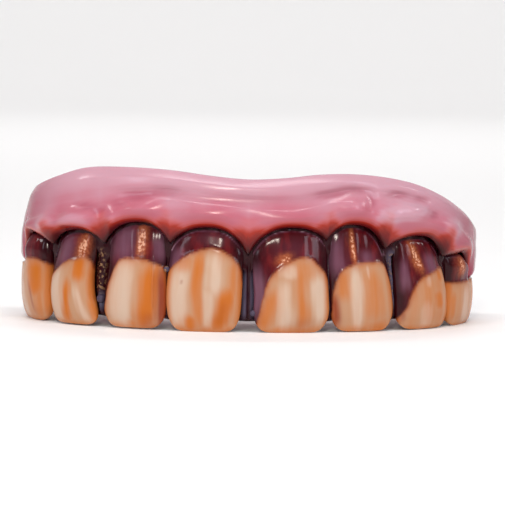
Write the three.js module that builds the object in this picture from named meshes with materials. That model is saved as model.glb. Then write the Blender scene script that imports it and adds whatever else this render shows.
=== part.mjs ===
// Costume teeth for the upper jaw: a pink acrylic gum with a channel for the wearer's own teeth, a dark lacquered
// web along its front, and eight separate acrylic teeth set under the scalloped edge of the gum.
// Millimetres, +Z up, teeth facing -Y. The set stands on the edges of its teeth, and the origin is the middle of
// its bounding box, at the height of those edges.
import * as THREE from "three";

// Plan of the arch, measured at the faces of the teeth
const ARCH_HALF_WIDTH = 32.6;
const FRONT_RADIUS = 46;
const SIDE_RADIUS = 20.5;
const HEEL_LENGTH = 4.5;

// Teeth
const CENTRAL_PITCH = 11.2;
const CROWN_DEPTH = 2.4;
const EDGE_DEPTH = 1.2;
const EDGE_SETBACK = 0.75;
const CROWN_SWELL = 0.15;
const ROOT_SETBACK = 0.5;
const INTERDENTAL_GAP = 1;
const TIP_LIFT = 0.2;

// Dark web behind the teeth
const WEB_THICKNESS = 1.5;
const WEB_BOTTOM = 1.4;

// Gum and the channel behind it
const CLEARANCE = 0.3;
const GUMLINE_HEIGHT = 14.1;
const RIM_HEIGHT = 21.1;
const POCKET_DEPTH = 0.9;
const POCKET_ROOF = 1.2;
const LIP_PROUD = 0.5;
const LIP_THICKNESS = 1.1;
const RIDGE_PROUD = 1.1;
const GROOVE_PROUD = 0.6;
const ROOT_BULGE = 0.5;
const HEEL_PROUD_SHARE = 0.3;
const RIM_SETBACK = 0.9;
const RIM_ROUND = 0.8;
const FLANGE_THICKNESS = 2.4;
const FRONT_WALL = 1.2;
const FRONT_WALL_BOTTOM = 2.5;
const CHANNEL_WIDTH = 8;
const FLOOR_HEIGHT = 6;
const FLOOR_THICKNESS = 2;
const LINGUAL_WALL = 1.8;
const LINGUAL_HEIGHT = 12.5;
const END_WALL = 2.2;
const END_SLOPE = 1.4;
const END_ROUND = 3;

// One row for each tooth, from the viewer's left. pitch: arch length it takes, as a share of CENTRAL_PITCH.
// left, right: space beside the crown, as shares of INTERDENTAL_GAP. apex: height of the gum line above it, as a
// share of GUMLINE_HEIGHT. lean: how far the root's middle lies from the crown's, as a share of the pitch.
// neck: root width as a share of the crown's. collar: top of the crown as a share of the gum line's height.
// groove: place of the gum's groove, from 0 at the gum line to 1 at the rim. lift: share of TIP_LIFT.
const TEETH = [
  { name: "tooth_1", pitch: 1.02, left: 0.2, right: 0.2, apex: 0.8, lean: 0.18, neck: 0.84, collar: 0.69, groove: 0.3, lift: 0 },
  { name: "tooth_2", pitch: 0.81, left: 0.2, right: 0.5, apex: 0.91, lean: 0.17, neck: 0.82, collar: 0.64, groove: 0.37, lift: 1 },
  { name: "tooth_3", pitch: 0.9, left: 0.3, right: 0.25, apex: 1.035, lean: 0.11, neck: 0.74, collar: 0.61, groove: 0.5, lift: 1 },
  { name: "tooth_4", pitch: 1, left: 0.25, right: 0.75, apex: 1, lean: 0.03, neck: 0.88, collar: 0.77, groove: 0.6, lift: 0 },
  { name: "tooth_5", pitch: 1.05, left: 0.95, right: 0.3, apex: 1.007, lean: -0.02, neck: 0.86, collar: 0.69, groove: 0.58, lift: 0 },
  { name: "tooth_6", pitch: 0.875, left: 0.5, right: 0.6, apex: 1.035, lean: -0.22, neck: 0.78, collar: 0.64, groove: 0.65, lift: 0.5 },
  { name: "tooth_7", pitch: 0.94, left: 0.7, right: 0.2, apex: 0.915, lean: -0.23, neck: 0.76, collar: 0.67, groove: 0.6, lift: 0.5 },
  { name: "tooth_8", pitch: 0.98, left: 0.2, right: 0.2, apex: 0.74, lean: -0.2, neck: 0.84, collar: 0.59, groove: 0.45, lift: 0 },
];
const TEETH_LEFT_OF_MIDDLE = 4;

// The points of gum between the roots, one more than there are teeth. shift: from the boundary between two crowns,
// as a share of CENTRAL_PITCH. height: as a share of GUMLINE_HEIGHT.
const GUM_POINTS = [
  { shift: 0, height: 0.57 },
  { shift: 0.14, height: 0.63 },
  { shift: 0.05, height: 0.78 },
  { shift: 0.03, height: 0.8 },
  { shift: 0, height: 0.68 },
  { shift: -0.07, height: 0.86 },
  { shift: -0.19, height: 0.765 },
  { shift: -0.125, height: 0.575 },
  { shift: 0, height: 0.43 },
];

// The gum's upper rim. at: -1 and 1 are the ends of the arch. height: share of RIM_HEIGHT.
const RIM = [
  { at: -1, height: 0.66 },
  { at: -0.9, height: 0.79 },
  { at: -0.8, height: 0.885 },
  { at: -0.7, height: 0.923 },
  { at: -0.6, height: 0.985 },
  { at: -0.48, height: 1.052 },
  { at: -0.35, height: 1.063 },
  { at: -0.22, height: 1.05 },
  { at: -0.1, height: 1.018 },
  { at: 0, height: 1 },
  { at: 0.1, height: 1.01 },
  { at: 0.2, height: 1.034 },
  { at: 0.3, height: 1.037 },
  { at: 0.4, height: 1.015 },
  { at: 0.5, height: 0.968 },
  { at: 0.6, height: 0.89 },
  { at: 0.7, height: 0.797 },
  { at: 0.8, height: 0.71 },
  { at: 0.9, height: 0.63 },
  { at: 1, height: 0.54 },
];

// A tooth's outline by height. at: share of the height of its root's top. width: 1 is the crown's, and below the
// collar and above it the root's neck narrows it too. front: how full the face is, from the edge (0) to the
// crown's swell (1); above the collar the root sets it back.
const TOOTH_OUTLINE = [
  { at: 0, width: 0.82, front: 0 },
  { at: 0.025, width: 0.92, front: 0.2 },
  { at: 0.08, width: 0.985, front: 0.45 },
  { at: 0.2, width: 1, front: 0.75 },
  { at: 0.38, width: 1, front: 0.95 },
  { at: 0.56, width: 1, front: 1 },
  { at: 0.7, width: 1, front: 1 },
  { at: 0.82, width: 0.97, front: 1 },
  { at: 0.92, width: 0.86, front: 1 },
  { at: 1, width: 0.66, front: 1 },
];
const NECK_STARTS_AT = 0.3;
const NECK_ENDS_AT = 0.8;
const COLLAR_STEP_SPAN = 0.06;
const FACE_SQUARENESS = 0.36;
const FACE_POINTS = 11;
const BACK_POINTS = 3;

const STATIONS_BY_TOOTH = [-1, -0.95, -0.82, -0.5, 0, 0.5, 0.82, 0.95];
const HEEL_STATIONS = 9;
const FILLET_POINTS = 2;

const { lerp, smoothstep, clamp } = THREE.MathUtils;

const frontTurn = Math.asin((ARCH_HALF_WIDTH - SIDE_RADIUS) / (FRONT_RADIUS - SIDE_RADIUS));
const frontLength = FRONT_RADIUS * frontTurn;
const sideLength = SIDE_RADIUS * (Math.PI / 2 - frontTurn);
const sideCentre = new THREE.Vector2(
  (FRONT_RADIUS - SIDE_RADIUS) * Math.sin(frontTurn),
  FRONT_RADIUS - (FRONT_RADIUS - SIDE_RADIUS) * Math.cos(frontTurn),
);

// Depths behind the faces of the teeth
const webFace = -(CROWN_DEPTH + CLEARANCE);
const webBack = webFace - WEB_THICKNESS;
const wallFace = webBack - CLEARANCE;
const channelFront = wallFace - FRONT_WALL;
const channelBack = channelFront - CHANNEL_WIDTH;
const lingualFace = channelBack - LINGUAL_WALL;

// The arch is a front arc, a tighter arc at each side and a straight heel. along: distance along the tooth faces
// from the middle, negative to the viewer's left. out: outwards from those faces.
function archPoint(along, out, up) {
  const side = along < 0 ? -1 : 1;
  const distance = Math.abs(along);
  let x, y;
  if (distance <= frontLength) {
    const turn = distance / FRONT_RADIUS;
    x = (FRONT_RADIUS + out) * Math.sin(turn);
    y = FRONT_RADIUS - (FRONT_RADIUS + out) * Math.cos(turn);
  } else if (distance <= frontLength + sideLength) {
    const turn = frontTurn + (distance - frontLength) / SIDE_RADIUS;
    x = sideCentre.x + (SIDE_RADIUS + out) * Math.sin(turn);
    y = sideCentre.y - (SIDE_RADIUS + out) * Math.cos(turn);
  } else {
    x = ARCH_HALF_WIDTH + out;
    y = sideCentre.y + distance - frontLength - sideLength;
  }
  return new THREE.Vector3(side * x, y, up);
}

// Where each tooth lies along the arch
const teeth = TEETH.map((row) => ({ ...row, pitch: row.pitch * CENTRAL_PITCH }));
let boundary = -teeth.slice(0, TEETH_LEFT_OF_MIDDLE).reduce((sum, tooth) => sum + tooth.pitch, 0);
const boundaries = [boundary];
for (const tooth of teeth) {
  tooth.from = boundary + tooth.left * INTERDENTAL_GAP;
  tooth.to = boundary + tooth.pitch - tooth.right * INTERDENTAL_GAP;
  tooth.middle = (tooth.from + tooth.to) / 2;
  tooth.root = tooth.middle + tooth.lean * tooth.pitch;
  tooth.apex *= GUMLINE_HEIGHT;
  boundary += tooth.pitch;
  boundaries.push(boundary);
}
const gumPoints = GUM_POINTS.map((point, i) => ({
  along: boundaries[i] + point.shift * CENTRAL_PITCH,
  height: point.height * GUMLINE_HEIGHT,
}));
const firstPoint = gumPoints[0];
const lastPoint = gumPoints.at(-1);
const halfLength = Math.max(frontLength + sideLength, -firstPoint.along, lastPoint.along) + HEEL_LENGTH;

// A smooth curve through rows of { at, value }, level beyond the ends
function smoothTable(rows, at) {
  const last = rows.length - 1;
  if (at <= rows[0].at) return rows[0].value;
  if (at >= rows[last].at) return rows[last].value;
  const i = rows.findIndex((row) => row.at > at) - 1;
  const slope = (k) => {
    const before = rows[Math.max(k - 1, 0)];
    const after = rows[Math.min(k + 1, last)];
    return (after.value - before.value) / (after.at - before.at);
  };
  const span = rows[i + 1].at - rows[i].at;
  const t = (at - rows[i].at) / span;
  const rise = rows[i + 1].value - rows[i].value;
  const start = slope(i) * span - rise;
  const end = rise - slope(i + 1) * span;
  return rows[i].value + rise * t + t * (1 - t) * (start * (1 - t) + end * t);
}

const rimRows = RIM.map((row) => ({ at: row.at * halfLength, value: row.height * RIM_HEIGHT }));
const rimHeight = (along) => smoothTable(rimRows, along);

// The line over the tops of the roots, which sinks along the heels with the gum's edge there
const apexRows = [
  { at: -halfLength, value: firstPoint.height },
  ...teeth.map((tooth) => ({ at: tooth.root, value: tooth.apex })),
  { at: halfLength, value: lastPoint.height },
];
const apexLine = (along) => smoothTable(apexRows, along);

const grooveRows = teeth.map((tooth) => ({ at: tooth.root, value: tooth.groove }));
const grooveShare = (along) => smoothTable(grooveRows, along);

// How far a place lies from the middle of the root over it: 0 there, 1 at the points of gum beside it
function rootOffset(along) {
  const i = clamp(gumPoints.findIndex((point) => point.along > along) - 1, 0, teeth.length - 1);
  const tooth = teeth[i];
  const point = along < tooth.root ? gumPoints[i] : gumPoints[i + 1];
  const offset = clamp((along - tooth.root) / (point.along - tooth.root), 0, 1);
  return { tooth, point, offset };
}

// Height of the gum's scalloped edge
function gumLine(along) {
  if (along <= firstPoint.along) return firstPoint.height;
  if (along >= lastPoint.along) return lastPoint.height;
  const { tooth, point, offset } = rootOffset(along);
  return point.height + (tooth.apex - point.height) * (1 - offset ** 2.4) ** 0.8;
}

// How far the gum swells over a root
function rootBulge(along) {
  if (along <= firstPoint.along || along >= lastPoint.along) return 0;
  return ROOT_BULGE * (1 - rootOffset(along).offset ** 2) ** 2;
}

// A closed skin through rings of arch-space points { along, out, up }, with both ends capped. Each ring runs
// anticlockwise as seen from the last one. flat: the two of those names in which the end rings are laid flat.
function loft(rings, flat) {
  const count = rings[0].length;
  const positions = rings.flat().flatMap((p) => archPoint(p.along, p.out, p.up).toArray());
  const faces = [];
  for (let i = 0; i + 1 < rings.length; i++) {
    for (let j = 0; j < count; j++) {
      const a = i * count + j;
      const b = i * count + ((j + 1) % count);
      faces.push(a, b, b + count, a, b + count, a + count);
    }
  }
  for (const end of [0, rings.length - 1]) {
    const outline = rings[end].map((p) => new THREE.Vector2(p[flat[0]], p[flat[1]]));
    for (const triangle of THREE.ShapeUtils.triangulateShape(outline, [])) {
      if (end > 0) triangle.reverse();
      faces.push(...triangle.map((corner) => end * count + corner));
    }
  }
  const geometry = new THREE.BufferGeometry();
  geometry.setAttribute("position", new THREE.Float32BufferAttribute(positions, 3));
  geometry.setIndex(faces);
  geometry.computeVertexNormals();
  return geometry;
}

// A section with each corner { out, up, round } replaced by a few points of a curve, turned to run as a ring does
function filleted(corners) {
  const points = corners.flatMap((corner, i) => {
    const at = new THREE.Vector2(corner.out, corner.up);
    const toward = (other) => {
      const end = new THREE.Vector2(other.out, other.up);
      const share = Math.min(corner.round / at.distanceTo(end), 0.45);
      return at.clone().lerp(end, share);
    };
    const curve = new THREE.QuadraticBezierCurve(
      toward(corners.at(i - 1)),
      at,
      toward(corners[(i + 1) % corners.length]),
    );
    return curve.getPoints(FILLET_POINTS - 1).map((p) => ({ out: p.x, up: p.y }));
  });
  return points.reverse();
}

// The gum's section at a place along the arch, from its edge up the front, over the rim, down into the channel,
// over the wall behind the wearer's teeth, underneath, and up the pockets that hold the web and the roots
function gumSection(along) {
  const edge = gumLine(along);
  const apex = apexLine(along);
  const rim = rimHeight(along);
  const bulge = rootBulge(along);
  const slimming = smoothstep(Math.abs(along), 0.55 * halfLength, 0.9 * halfLength);
  const proud = lerp(1, HEEL_PROUD_SHARE, slimming);
  const ridgeProud = RIDGE_PROUD * proud;
  const grooveProud = GROOVE_PROUD * proud;
  const groove = lerp(apex, rim, grooveShare(along));
  const ridge = lerp(apex, groove, 0.72);
  const shoulder = Math.min(apex + POCKET_DEPTH + POCKET_ROOF, rim - FLANGE_THICKNESS);
  const flangeBack = GROOVE_PROUD - FLANGE_THICKNESS;
  const underside = FLOOR_HEIGHT - FLOOR_THICKNESS;
  const pocketTop = edge + POCKET_DEPTH;
  const front = [
    { out: LIP_PROUD - LIP_THICKNESS / 2, up: edge, round: 0.25 },
    { out: LIP_PROUD, up: edge + LIP_THICKNESS / 2, round: 0.4 },
    { out: lerp(LIP_PROUD, ridgeProud, 0.7) + bulge, up: lerp(edge, ridge, 0.5), round: 1 },
    { out: ridgeProud + bulge / 2, up: ridge, round: 0.6 },
    { out: grooveProud, up: groove, round: 0.7 },
    { out: grooveProud, up: lerp(groove, rim, 0.5), round: 1 },
    { out: 0, up: rim - RIM_ROUND, round: 0.8 },
    { out: -RIM_SETBACK, up: rim, round: 0.8 },
  ];
  const channel = [
    { out: flangeBack - RIM_ROUND / 2, up: rim - RIM_ROUND, round: 0.8 },
    { out: flangeBack - RIM_ROUND, up: lerp(rim, shoulder, 0.6), round: 1 },
    { out: channelFront, up: shoulder, round: 1.2 },
    { out: channelFront, up: FLOOR_HEIGHT, round: 1 },
    { out: channelBack, up: FLOOR_HEIGHT, round: 1 },
    { out: channelBack, up: LINGUAL_HEIGHT, round: 0.7 },
  ];
  const back = [
    { out: lingualFace, up: LINGUAL_HEIGHT, round: 0.7 },
    { out: lingualFace, up: underside, round: 1.5 },
    { out: channelFront, up: underside, round: 0.5 },
    { out: channelFront + FRONT_WALL / 4, up: FRONT_WALL_BOTTOM, round: 0.3 },
  ];
  const pocket = [
    { out: wallFace, up: FRONT_WALL_BOTTOM, round: 0.3, heelOut: wallFace, heelUp: 0 },
    { out: wallFace, up: pocketTop, round: 0.05, heelOut: wallFace * 0.5, heelUp: 0.5 },
    { out: LIP_PROUD - LIP_THICKNESS, up: pocketTop, round: 0.1, heelOut: wallFace * 0.15, heelUp: 0.85 },
  ];

  // The channel is closed at each end of the arch
  const closing = smoothstep(Math.abs(along), halfLength - END_WALL - END_SLOPE, halfLength - END_WALL);
  const rimInside = channel[0];
  for (const corner of channel) {
    const across = (rimInside.out - corner.out) / (rimInside.out - lingualFace);
    corner.up = lerp(corner.up, lerp(rimInside.up, LINGUAL_HEIGHT, across), closing);
  }
  // The pockets fill up beyond the last tooth
  const past = Math.max(firstPoint.along - along, along - lastPoint.along, 0);
  const heel = smoothstep(past, 0, END_SLOPE);
  for (const corner of pocket) {
    corner.out = lerp(corner.out, corner.heelOut, heel);
    corner.up = lerp(corner.up, lerp(FRONT_WALL_BOTTOM, edge, corner.heelUp), heel);
  }
  return filleted([...front, ...channel, ...back, ...pocket]);
}

// The ends of the arch are rounded off towards the middle of the section
function roundedEnd(section, along) {
  const into = clamp((Math.abs(along) - halfLength + END_ROUND) / END_ROUND, 0, 1);
  const share = Math.sqrt(1 - (0.94 * into) ** 2);
  const middle = { out: (channelFront + channelBack) / 2, up: FLOOR_HEIGHT + FLOOR_THICKNESS };
  return section.map((p) => ({
    along,
    out: lerp(middle.out, p.out, share),
    up: lerp(middle.up, p.up, share),
  }));
}

// Places along the arch where the gum's and the web's sections stand, closer together where the scallops are steep
function stationsUnderTeeth(offsets) {
  const stations = teeth.flatMap((tooth, i) =>
    offsets.map((offset) => {
      const point = offset < 0 ? gumPoints[i] : gumPoints[i + 1];
      return tooth.root + Math.abs(offset) * (point.along - tooth.root);
    }),
  );
  return [...stations, lastPoint.along];
}

function heelStations(side, from) {
  const length = halfLength - from;
  return Array.from({ length: HEEL_STATIONS }, (_, i) => {
    const share = Math.sin(((i + 1) / HEEL_STATIONS) * (Math.PI / 2));
    return side * (from + length * share);
  });
}

function gumGeometry() {
  const stations = [
    ...heelStations(-1, -firstPoint.along).reverse(),
    ...stationsUnderTeeth(STATIONS_BY_TOOTH),
    ...heelStations(1, lastPoint.along),
  ];
  return loft(stations.map((along) => roundedEnd(gumSection(along), along)), ["out", "up"]);
}

// The web stands in the gum's pockets behind the teeth, and is seen dark between them
function webGeometry() {
  const stations = stationsUnderTeeth([-1, -0.88, -0.5, 0, 0.5, 0.88]);
  stations[0] += CLEARANCE;
  stations[stations.length - 1] -= CLEARANCE;
  const rings = stations.map((along) => {
    const top = gumLine(along) + POCKET_DEPTH - CLEARANCE;
    const corners = [
      { out: webFace, up: WEB_BOTTOM, round: WEB_THICKNESS / 3 },
      { out: webFace, up: top, round: 0.1 },
      { out: webBack, up: top, round: 0.1 },
      { out: webBack, up: WEB_BOTTOM, round: WEB_THICKNESS / 3 },
    ];
    return filleted(corners).map((p) => ({ along, ...p }));
  });
  return loft(rings, ["out", "up"]);
}

const outlineColumn = (name) => TOOTH_OUTLINE.map((row) => ({ at: row.at, value: row[name] }));
const widthRows = outlineColumn("width");
const frontRows = outlineColumn("front");

// One level ring of a tooth: a full curved face and a flat back that follows the web
function toothRing(tooth, at) {
  const rootTop = tooth.apex + POCKET_DEPTH - CLEARANCE;
  const narrowing = smoothstep(at, NECK_STARTS_AT, NECK_ENDS_AT);
  const halfWidth = ((tooth.to - tooth.from) / 2) * smoothTable(widthRows, at) * lerp(1, tooth.neck, narrowing);
  const middle = lerp(tooth.middle, tooth.root, smoothstep(at, NECK_STARTS_AT, 1));
  const full = smoothTable(frontRows, at);
  const aboveCollar = smoothstep(at, tooth.collar, tooth.collar + COLLAR_STEP_SPAN);
  const face = lerp(-EDGE_SETBACK, CROWN_SWELL, full) - aboveCollar * (ROOT_SETBACK + CROWN_SWELL);
  const back = Math.max(-CROWN_DEPTH, lerp(-EDGE_SETBACK - EDGE_DEPTH, -CROWN_DEPTH, Math.min(at / 0.08, 1)));
  const lift = tooth.lift * TIP_LIFT;

  const place = (across, out) => {
    const along = middle + across * halfWidth;
    const level = lerp(lift, rootTop, at);
    const drop = (rootTop - (gumLine(along) + POCKET_DEPTH - CLEARANCE)) * smoothstep(at, NECK_ENDS_AT, 1);
    return { along, out, up: level - drop };
  };
  const ring = [];
  for (let i = 0; i < FACE_POINTS; i++) {
    const angle = (i / (FACE_POINTS - 1) - 0.5) * Math.PI;
    ring.push(place(Math.sin(angle), back + (face - back) * Math.cos(angle) ** FACE_SQUARENESS));
  }
  for (let i = 1; i <= BACK_POINTS; i++) ring.push(place(1 - (2 * i) / (BACK_POINTS + 1), back));
  return ring;
}

function toothGeometry(tooth) {
  const collarLevels = [tooth.collar, tooth.collar + COLLAR_STEP_SPAN];
  const levels = [...TOOTH_OUTLINE.map((row) => row.at), ...collarLevels].sort((a, b) => a - b);
  const spaced = levels.filter((at, i) => i === 0 || at - levels[i - 1] > 0.01);
  return loft(spaced.map((at) => toothRing(tooth, at)), ["along", "out"]);
}

const pinkAcrylic = () => new THREE.MeshStandardMaterial({ color: 0xd98a92, roughness: 0.3, metalness: 0 });
const darkLacquer = () => new THREE.MeshStandardMaterial({ color: 0x2a1a22, roughness: 0.18, metalness: 0 });
const stainedAcrylic = () => new THREE.MeshStandardMaterial({ color: 0xe0b489, roughness: 0.28, metalness: 0 });

function named(name, geometry, material) {
  const mesh = new THREE.Mesh(geometry, material);
  mesh.name = name;
  return mesh;
}

const costumeTeeth = new THREE.Group();
costumeTeeth.name = "costume_teeth";
costumeTeeth.add(named("gum", gumGeometry(), pinkAcrylic()));
costumeTeeth.add(named("web", webGeometry(), darkLacquer()));
for (const tooth of teeth) costumeTeeth.add(named(tooth.name, toothGeometry(tooth), stainedAcrylic()));

const bounds = new THREE.Box3().setFromObject(costumeTeeth);
const centre = bounds.getCenter(new THREE.Vector3());
costumeTeeth.position.set(-centre.x, -centre.y, -bounds.min.z);

export default costumeTeeth;
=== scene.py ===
"""Costume teeth for the upper jaw, standing on a pale table.

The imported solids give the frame. Each of them is replaced by a finer mesh on the same arch, with narrower
arches of gum over the end teeth: the pink gum, the dark web between the teeth and eight stained teeth with
lacquered roots. Sizes are in millimetres in the arch's own terms (along the faces of the teeth, out from them,
and up), and become metres in the shared frame in Arch.point.
"""

import logging
import math
from dataclasses import dataclass
from enum import Enum
from typing import Callable, Sequence

import bmesh
import bpy
from mathutils import Matrix, Vector, kdtree, noise


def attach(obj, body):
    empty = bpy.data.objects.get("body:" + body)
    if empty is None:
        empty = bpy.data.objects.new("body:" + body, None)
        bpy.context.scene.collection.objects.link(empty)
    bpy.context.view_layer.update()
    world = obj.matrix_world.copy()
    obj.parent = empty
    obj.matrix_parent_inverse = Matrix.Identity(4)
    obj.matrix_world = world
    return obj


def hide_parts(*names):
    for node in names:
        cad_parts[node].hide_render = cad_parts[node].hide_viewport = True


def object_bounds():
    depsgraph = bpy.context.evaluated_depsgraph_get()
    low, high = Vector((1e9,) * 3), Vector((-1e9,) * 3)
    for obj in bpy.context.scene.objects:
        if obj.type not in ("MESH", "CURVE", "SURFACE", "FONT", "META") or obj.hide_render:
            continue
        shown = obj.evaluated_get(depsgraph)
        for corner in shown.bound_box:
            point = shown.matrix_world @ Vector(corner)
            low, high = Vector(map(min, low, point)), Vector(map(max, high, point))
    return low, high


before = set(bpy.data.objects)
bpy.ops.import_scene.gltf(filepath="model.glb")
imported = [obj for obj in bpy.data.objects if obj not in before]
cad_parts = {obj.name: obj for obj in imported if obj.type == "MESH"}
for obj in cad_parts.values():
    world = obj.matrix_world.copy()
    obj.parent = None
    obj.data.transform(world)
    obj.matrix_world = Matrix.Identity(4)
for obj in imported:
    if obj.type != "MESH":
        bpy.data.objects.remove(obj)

MM = 0.001
CAD_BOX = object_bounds()
BODY = "root"

log = logging.getLogger("costume_teeth")


def linear(code: str) -> tuple[float, float, float, float]:
    """Turns an sRGB hex colour into linear red, green, blue and alpha.

    Args:
        code: six hex digits after a hash sign.

    Returns:
        The four linear values, with alpha 1.
    """
    parts = [int(code[i : i + 2], 16) / 255 for i in (1, 3, 5)]
    red, green, blue = (p / 12.92 if p <= 0.04045 else ((p + 0.055) / 1.055) ** 2.4 for p in parts)
    return red, green, blue, 1.0


def lerp(a: float, b: float, share: float) -> float:
    """The value that lies a share of the way from a to b."""
    return a + (b - a) * share


def smoothstep(low: float, high: float, value: float) -> float:
    """Rises smoothly from 0 at low to 1 at high."""
    t = min(max((value - low) / (high - low), 0.0), 1.0)
    return t * t * (3 - 2 * t)


def hump(value: float, middle: float, reach: float) -> float:
    """A rounded rise of 1 at the middle that dies away over about twice its reach."""
    return math.exp(-(((value - middle) / reach) ** 2))


def smooth_table(places: Sequence[float], values: Sequence[float], at: float) -> float:
    """A smooth curve through a short table, level beyond its ends.

    Args:
        places: rising places of the rows.
        values: the value in each row.
        at: the place asked for.

    Returns:
        The value there.
    """
    last = len(places) - 1
    if at <= places[0]:
        return values[0]
    if at >= places[last]:
        return values[last]
    i = next(k for k in range(last) if places[k + 1] > at)

    def slope(k: int) -> float:
        """Slope of the curve at a row, from the rows beside it."""
        before, after = max(k - 1, 0), min(k + 1, last)
        return (values[after] - values[before]) / (places[after] - places[before])

    span = places[i + 1] - places[i]
    t = (at - places[i]) / span
    rise = values[i + 1] - values[i]
    start = slope(i) * span - rise
    end = rise - slope(i + 1) * span
    return values[i] + rise * t + t * (1 - t) * (start * (1 - t) + end * t)


def add_node(
    tree: bpy.types.NodeTree,
    kind: str,
    settings: dict[str, object] | None = None,
    inputs: dict[object, object] | None = None,
) -> bpy.types.Node:
    """Adds one node, with its settings and its values or links.

    Args:
        tree: the node tree that gets it.
        kind: the node's class name.
        settings: properties of the node by name.
        inputs: sockets by name or number, each with a value or with the output that feeds it.

    Returns:
        The new node.
    """
    node = tree.nodes.new(kind)
    for name, value in (settings or {}).items():
        setattr(node, name, value)
    for key, value in (inputs or {}).items():
        if isinstance(value, bpy.types.NodeSocket):
            tree.links.new(value, node.inputs[key])
        else:
            node.inputs[key].default_value = value
    return node


class Pigment(Enum):
    """What a stroke puts on a tooth: stains of the maker's brush, and painted highlights and reflections."""

    AMBER = ("stain", 0)
    RUST = ("stain", 1)
    # Pale cream stain; some strokes of it are painted highlights.
    IVORY_AND_HIGHLIGHT = ("stain", 2)
    # Painted warm highlight on the lacquer.
    COPPER_HIGHLIGHT = ("glaze_and_painted_light", 0)
    # Painted reflection of the side lights on the lacquer.
    LILAC_REFLECTION = ("glaze_and_painted_light", 1)

    @property
    def layer(self) -> str:
        """Name of the mesh attribute that holds it."""
        return self.value[0]

    @property
    def channel(self) -> int:
        """Which of the attribute's three numbers it is."""
        return self.value[1]


@dataclass(frozen=True)
class Stroke:
    """One stroke of stain or of painted light on a tooth, in shares of the tooth's width and height.

    across: -1 and 1 are the tooth's left and right edges. low, high: 0 is the biting edge and 1 the gum line.
    width: half of the stroke's width. lean: how far it moves across over the tooth's whole height.
    """

    pigment: Pigment
    across: float
    low: float
    high: float
    width: float
    strength: float = 1.0
    lean: float = 0.0

    def cover(self, across: float, height: float) -> float:
        """How much pigment lies at a place, from 0 to its strength.

        Args:
            across: -1 to 1 over the tooth's width.
            height: 0 to 1 up the tooth.

        Returns:
            The cover.
        """
        centre = self.across + self.lean * (height - (self.low + self.high) / 2)
        fade = 0.25 * (self.high - self.low) + 0.02
        start = smoothstep(self.low - fade, self.low + fade, height)
        stop = smoothstep(self.high + fade, self.high - fade, height)
        return self.strength * hump(across, centre, self.width) * start * stop


@dataclass(frozen=True)
class ToothPlan:
    """One tooth as charted from the photograph, in shares.

    pitch: arch length that it takes, of the central pitch. apex: height of the gum line over it, of the gum
    line's. lean: how far its root's middle lies from its crown's, of the pitch. space: room left and right of
    the crown, of the gap between teeth. left, right: its edges at TOOTH_LEVELS, in half pitches from the
    middle of its pitch. crown: points (across, height) on the lacquer's border, from the left of the crown
    over it to the right, with 1 at the tooth's edge and at the gum line over it. rim_highlight: how much
    painted highlight lies along the lacquer's pooled rim round the root, and how far that rim stands out. arch:
    how square the gum's arch over it is, from 1 for a peak. lift: how far its biting edge stands above the
    lowest,
    of the tip lift. drip: whether a run of lacquer hangs over its crown. band: width of the dark band under the
    gum, a setback in the shape with painted shade over it. flute: depth of the root's upright flutes.
    root_out, crown_out: how far its root, and the whole tooth, stand out further than the others. These last
    four are in millimetres.
    """

    name: str
    pitch: float
    apex: float
    lean: float
    space: tuple[float, float]
    left: tuple[float, ...]
    right: tuple[float, ...]
    crown: tuple[tuple[float, float], ...]
    strokes: tuple[Stroke, ...]
    band: float = 0.1
    rim_highlight: float = 0.3
    arch: float = 2.4
    flute: float = 0.13
    root_out: float = 0.0
    crown_out: float = 0.0
    lift: float = 0.0
    drip: bool = False


TOOTH_LEVELS = (0.03, 0.15, 0.35, 0.55, 0.75, 0.88, 0.97)
AMBER, RUST, IVORY_AND_HIGHLIGHT = Pigment.AMBER, Pigment.RUST, Pigment.IVORY_AND_HIGHLIGHT
COPPER_HIGHLIGHT, LILAC_REFLECTION = Pigment.COPPER_HIGHLIGHT, Pigment.LILAC_REFLECTION

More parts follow.
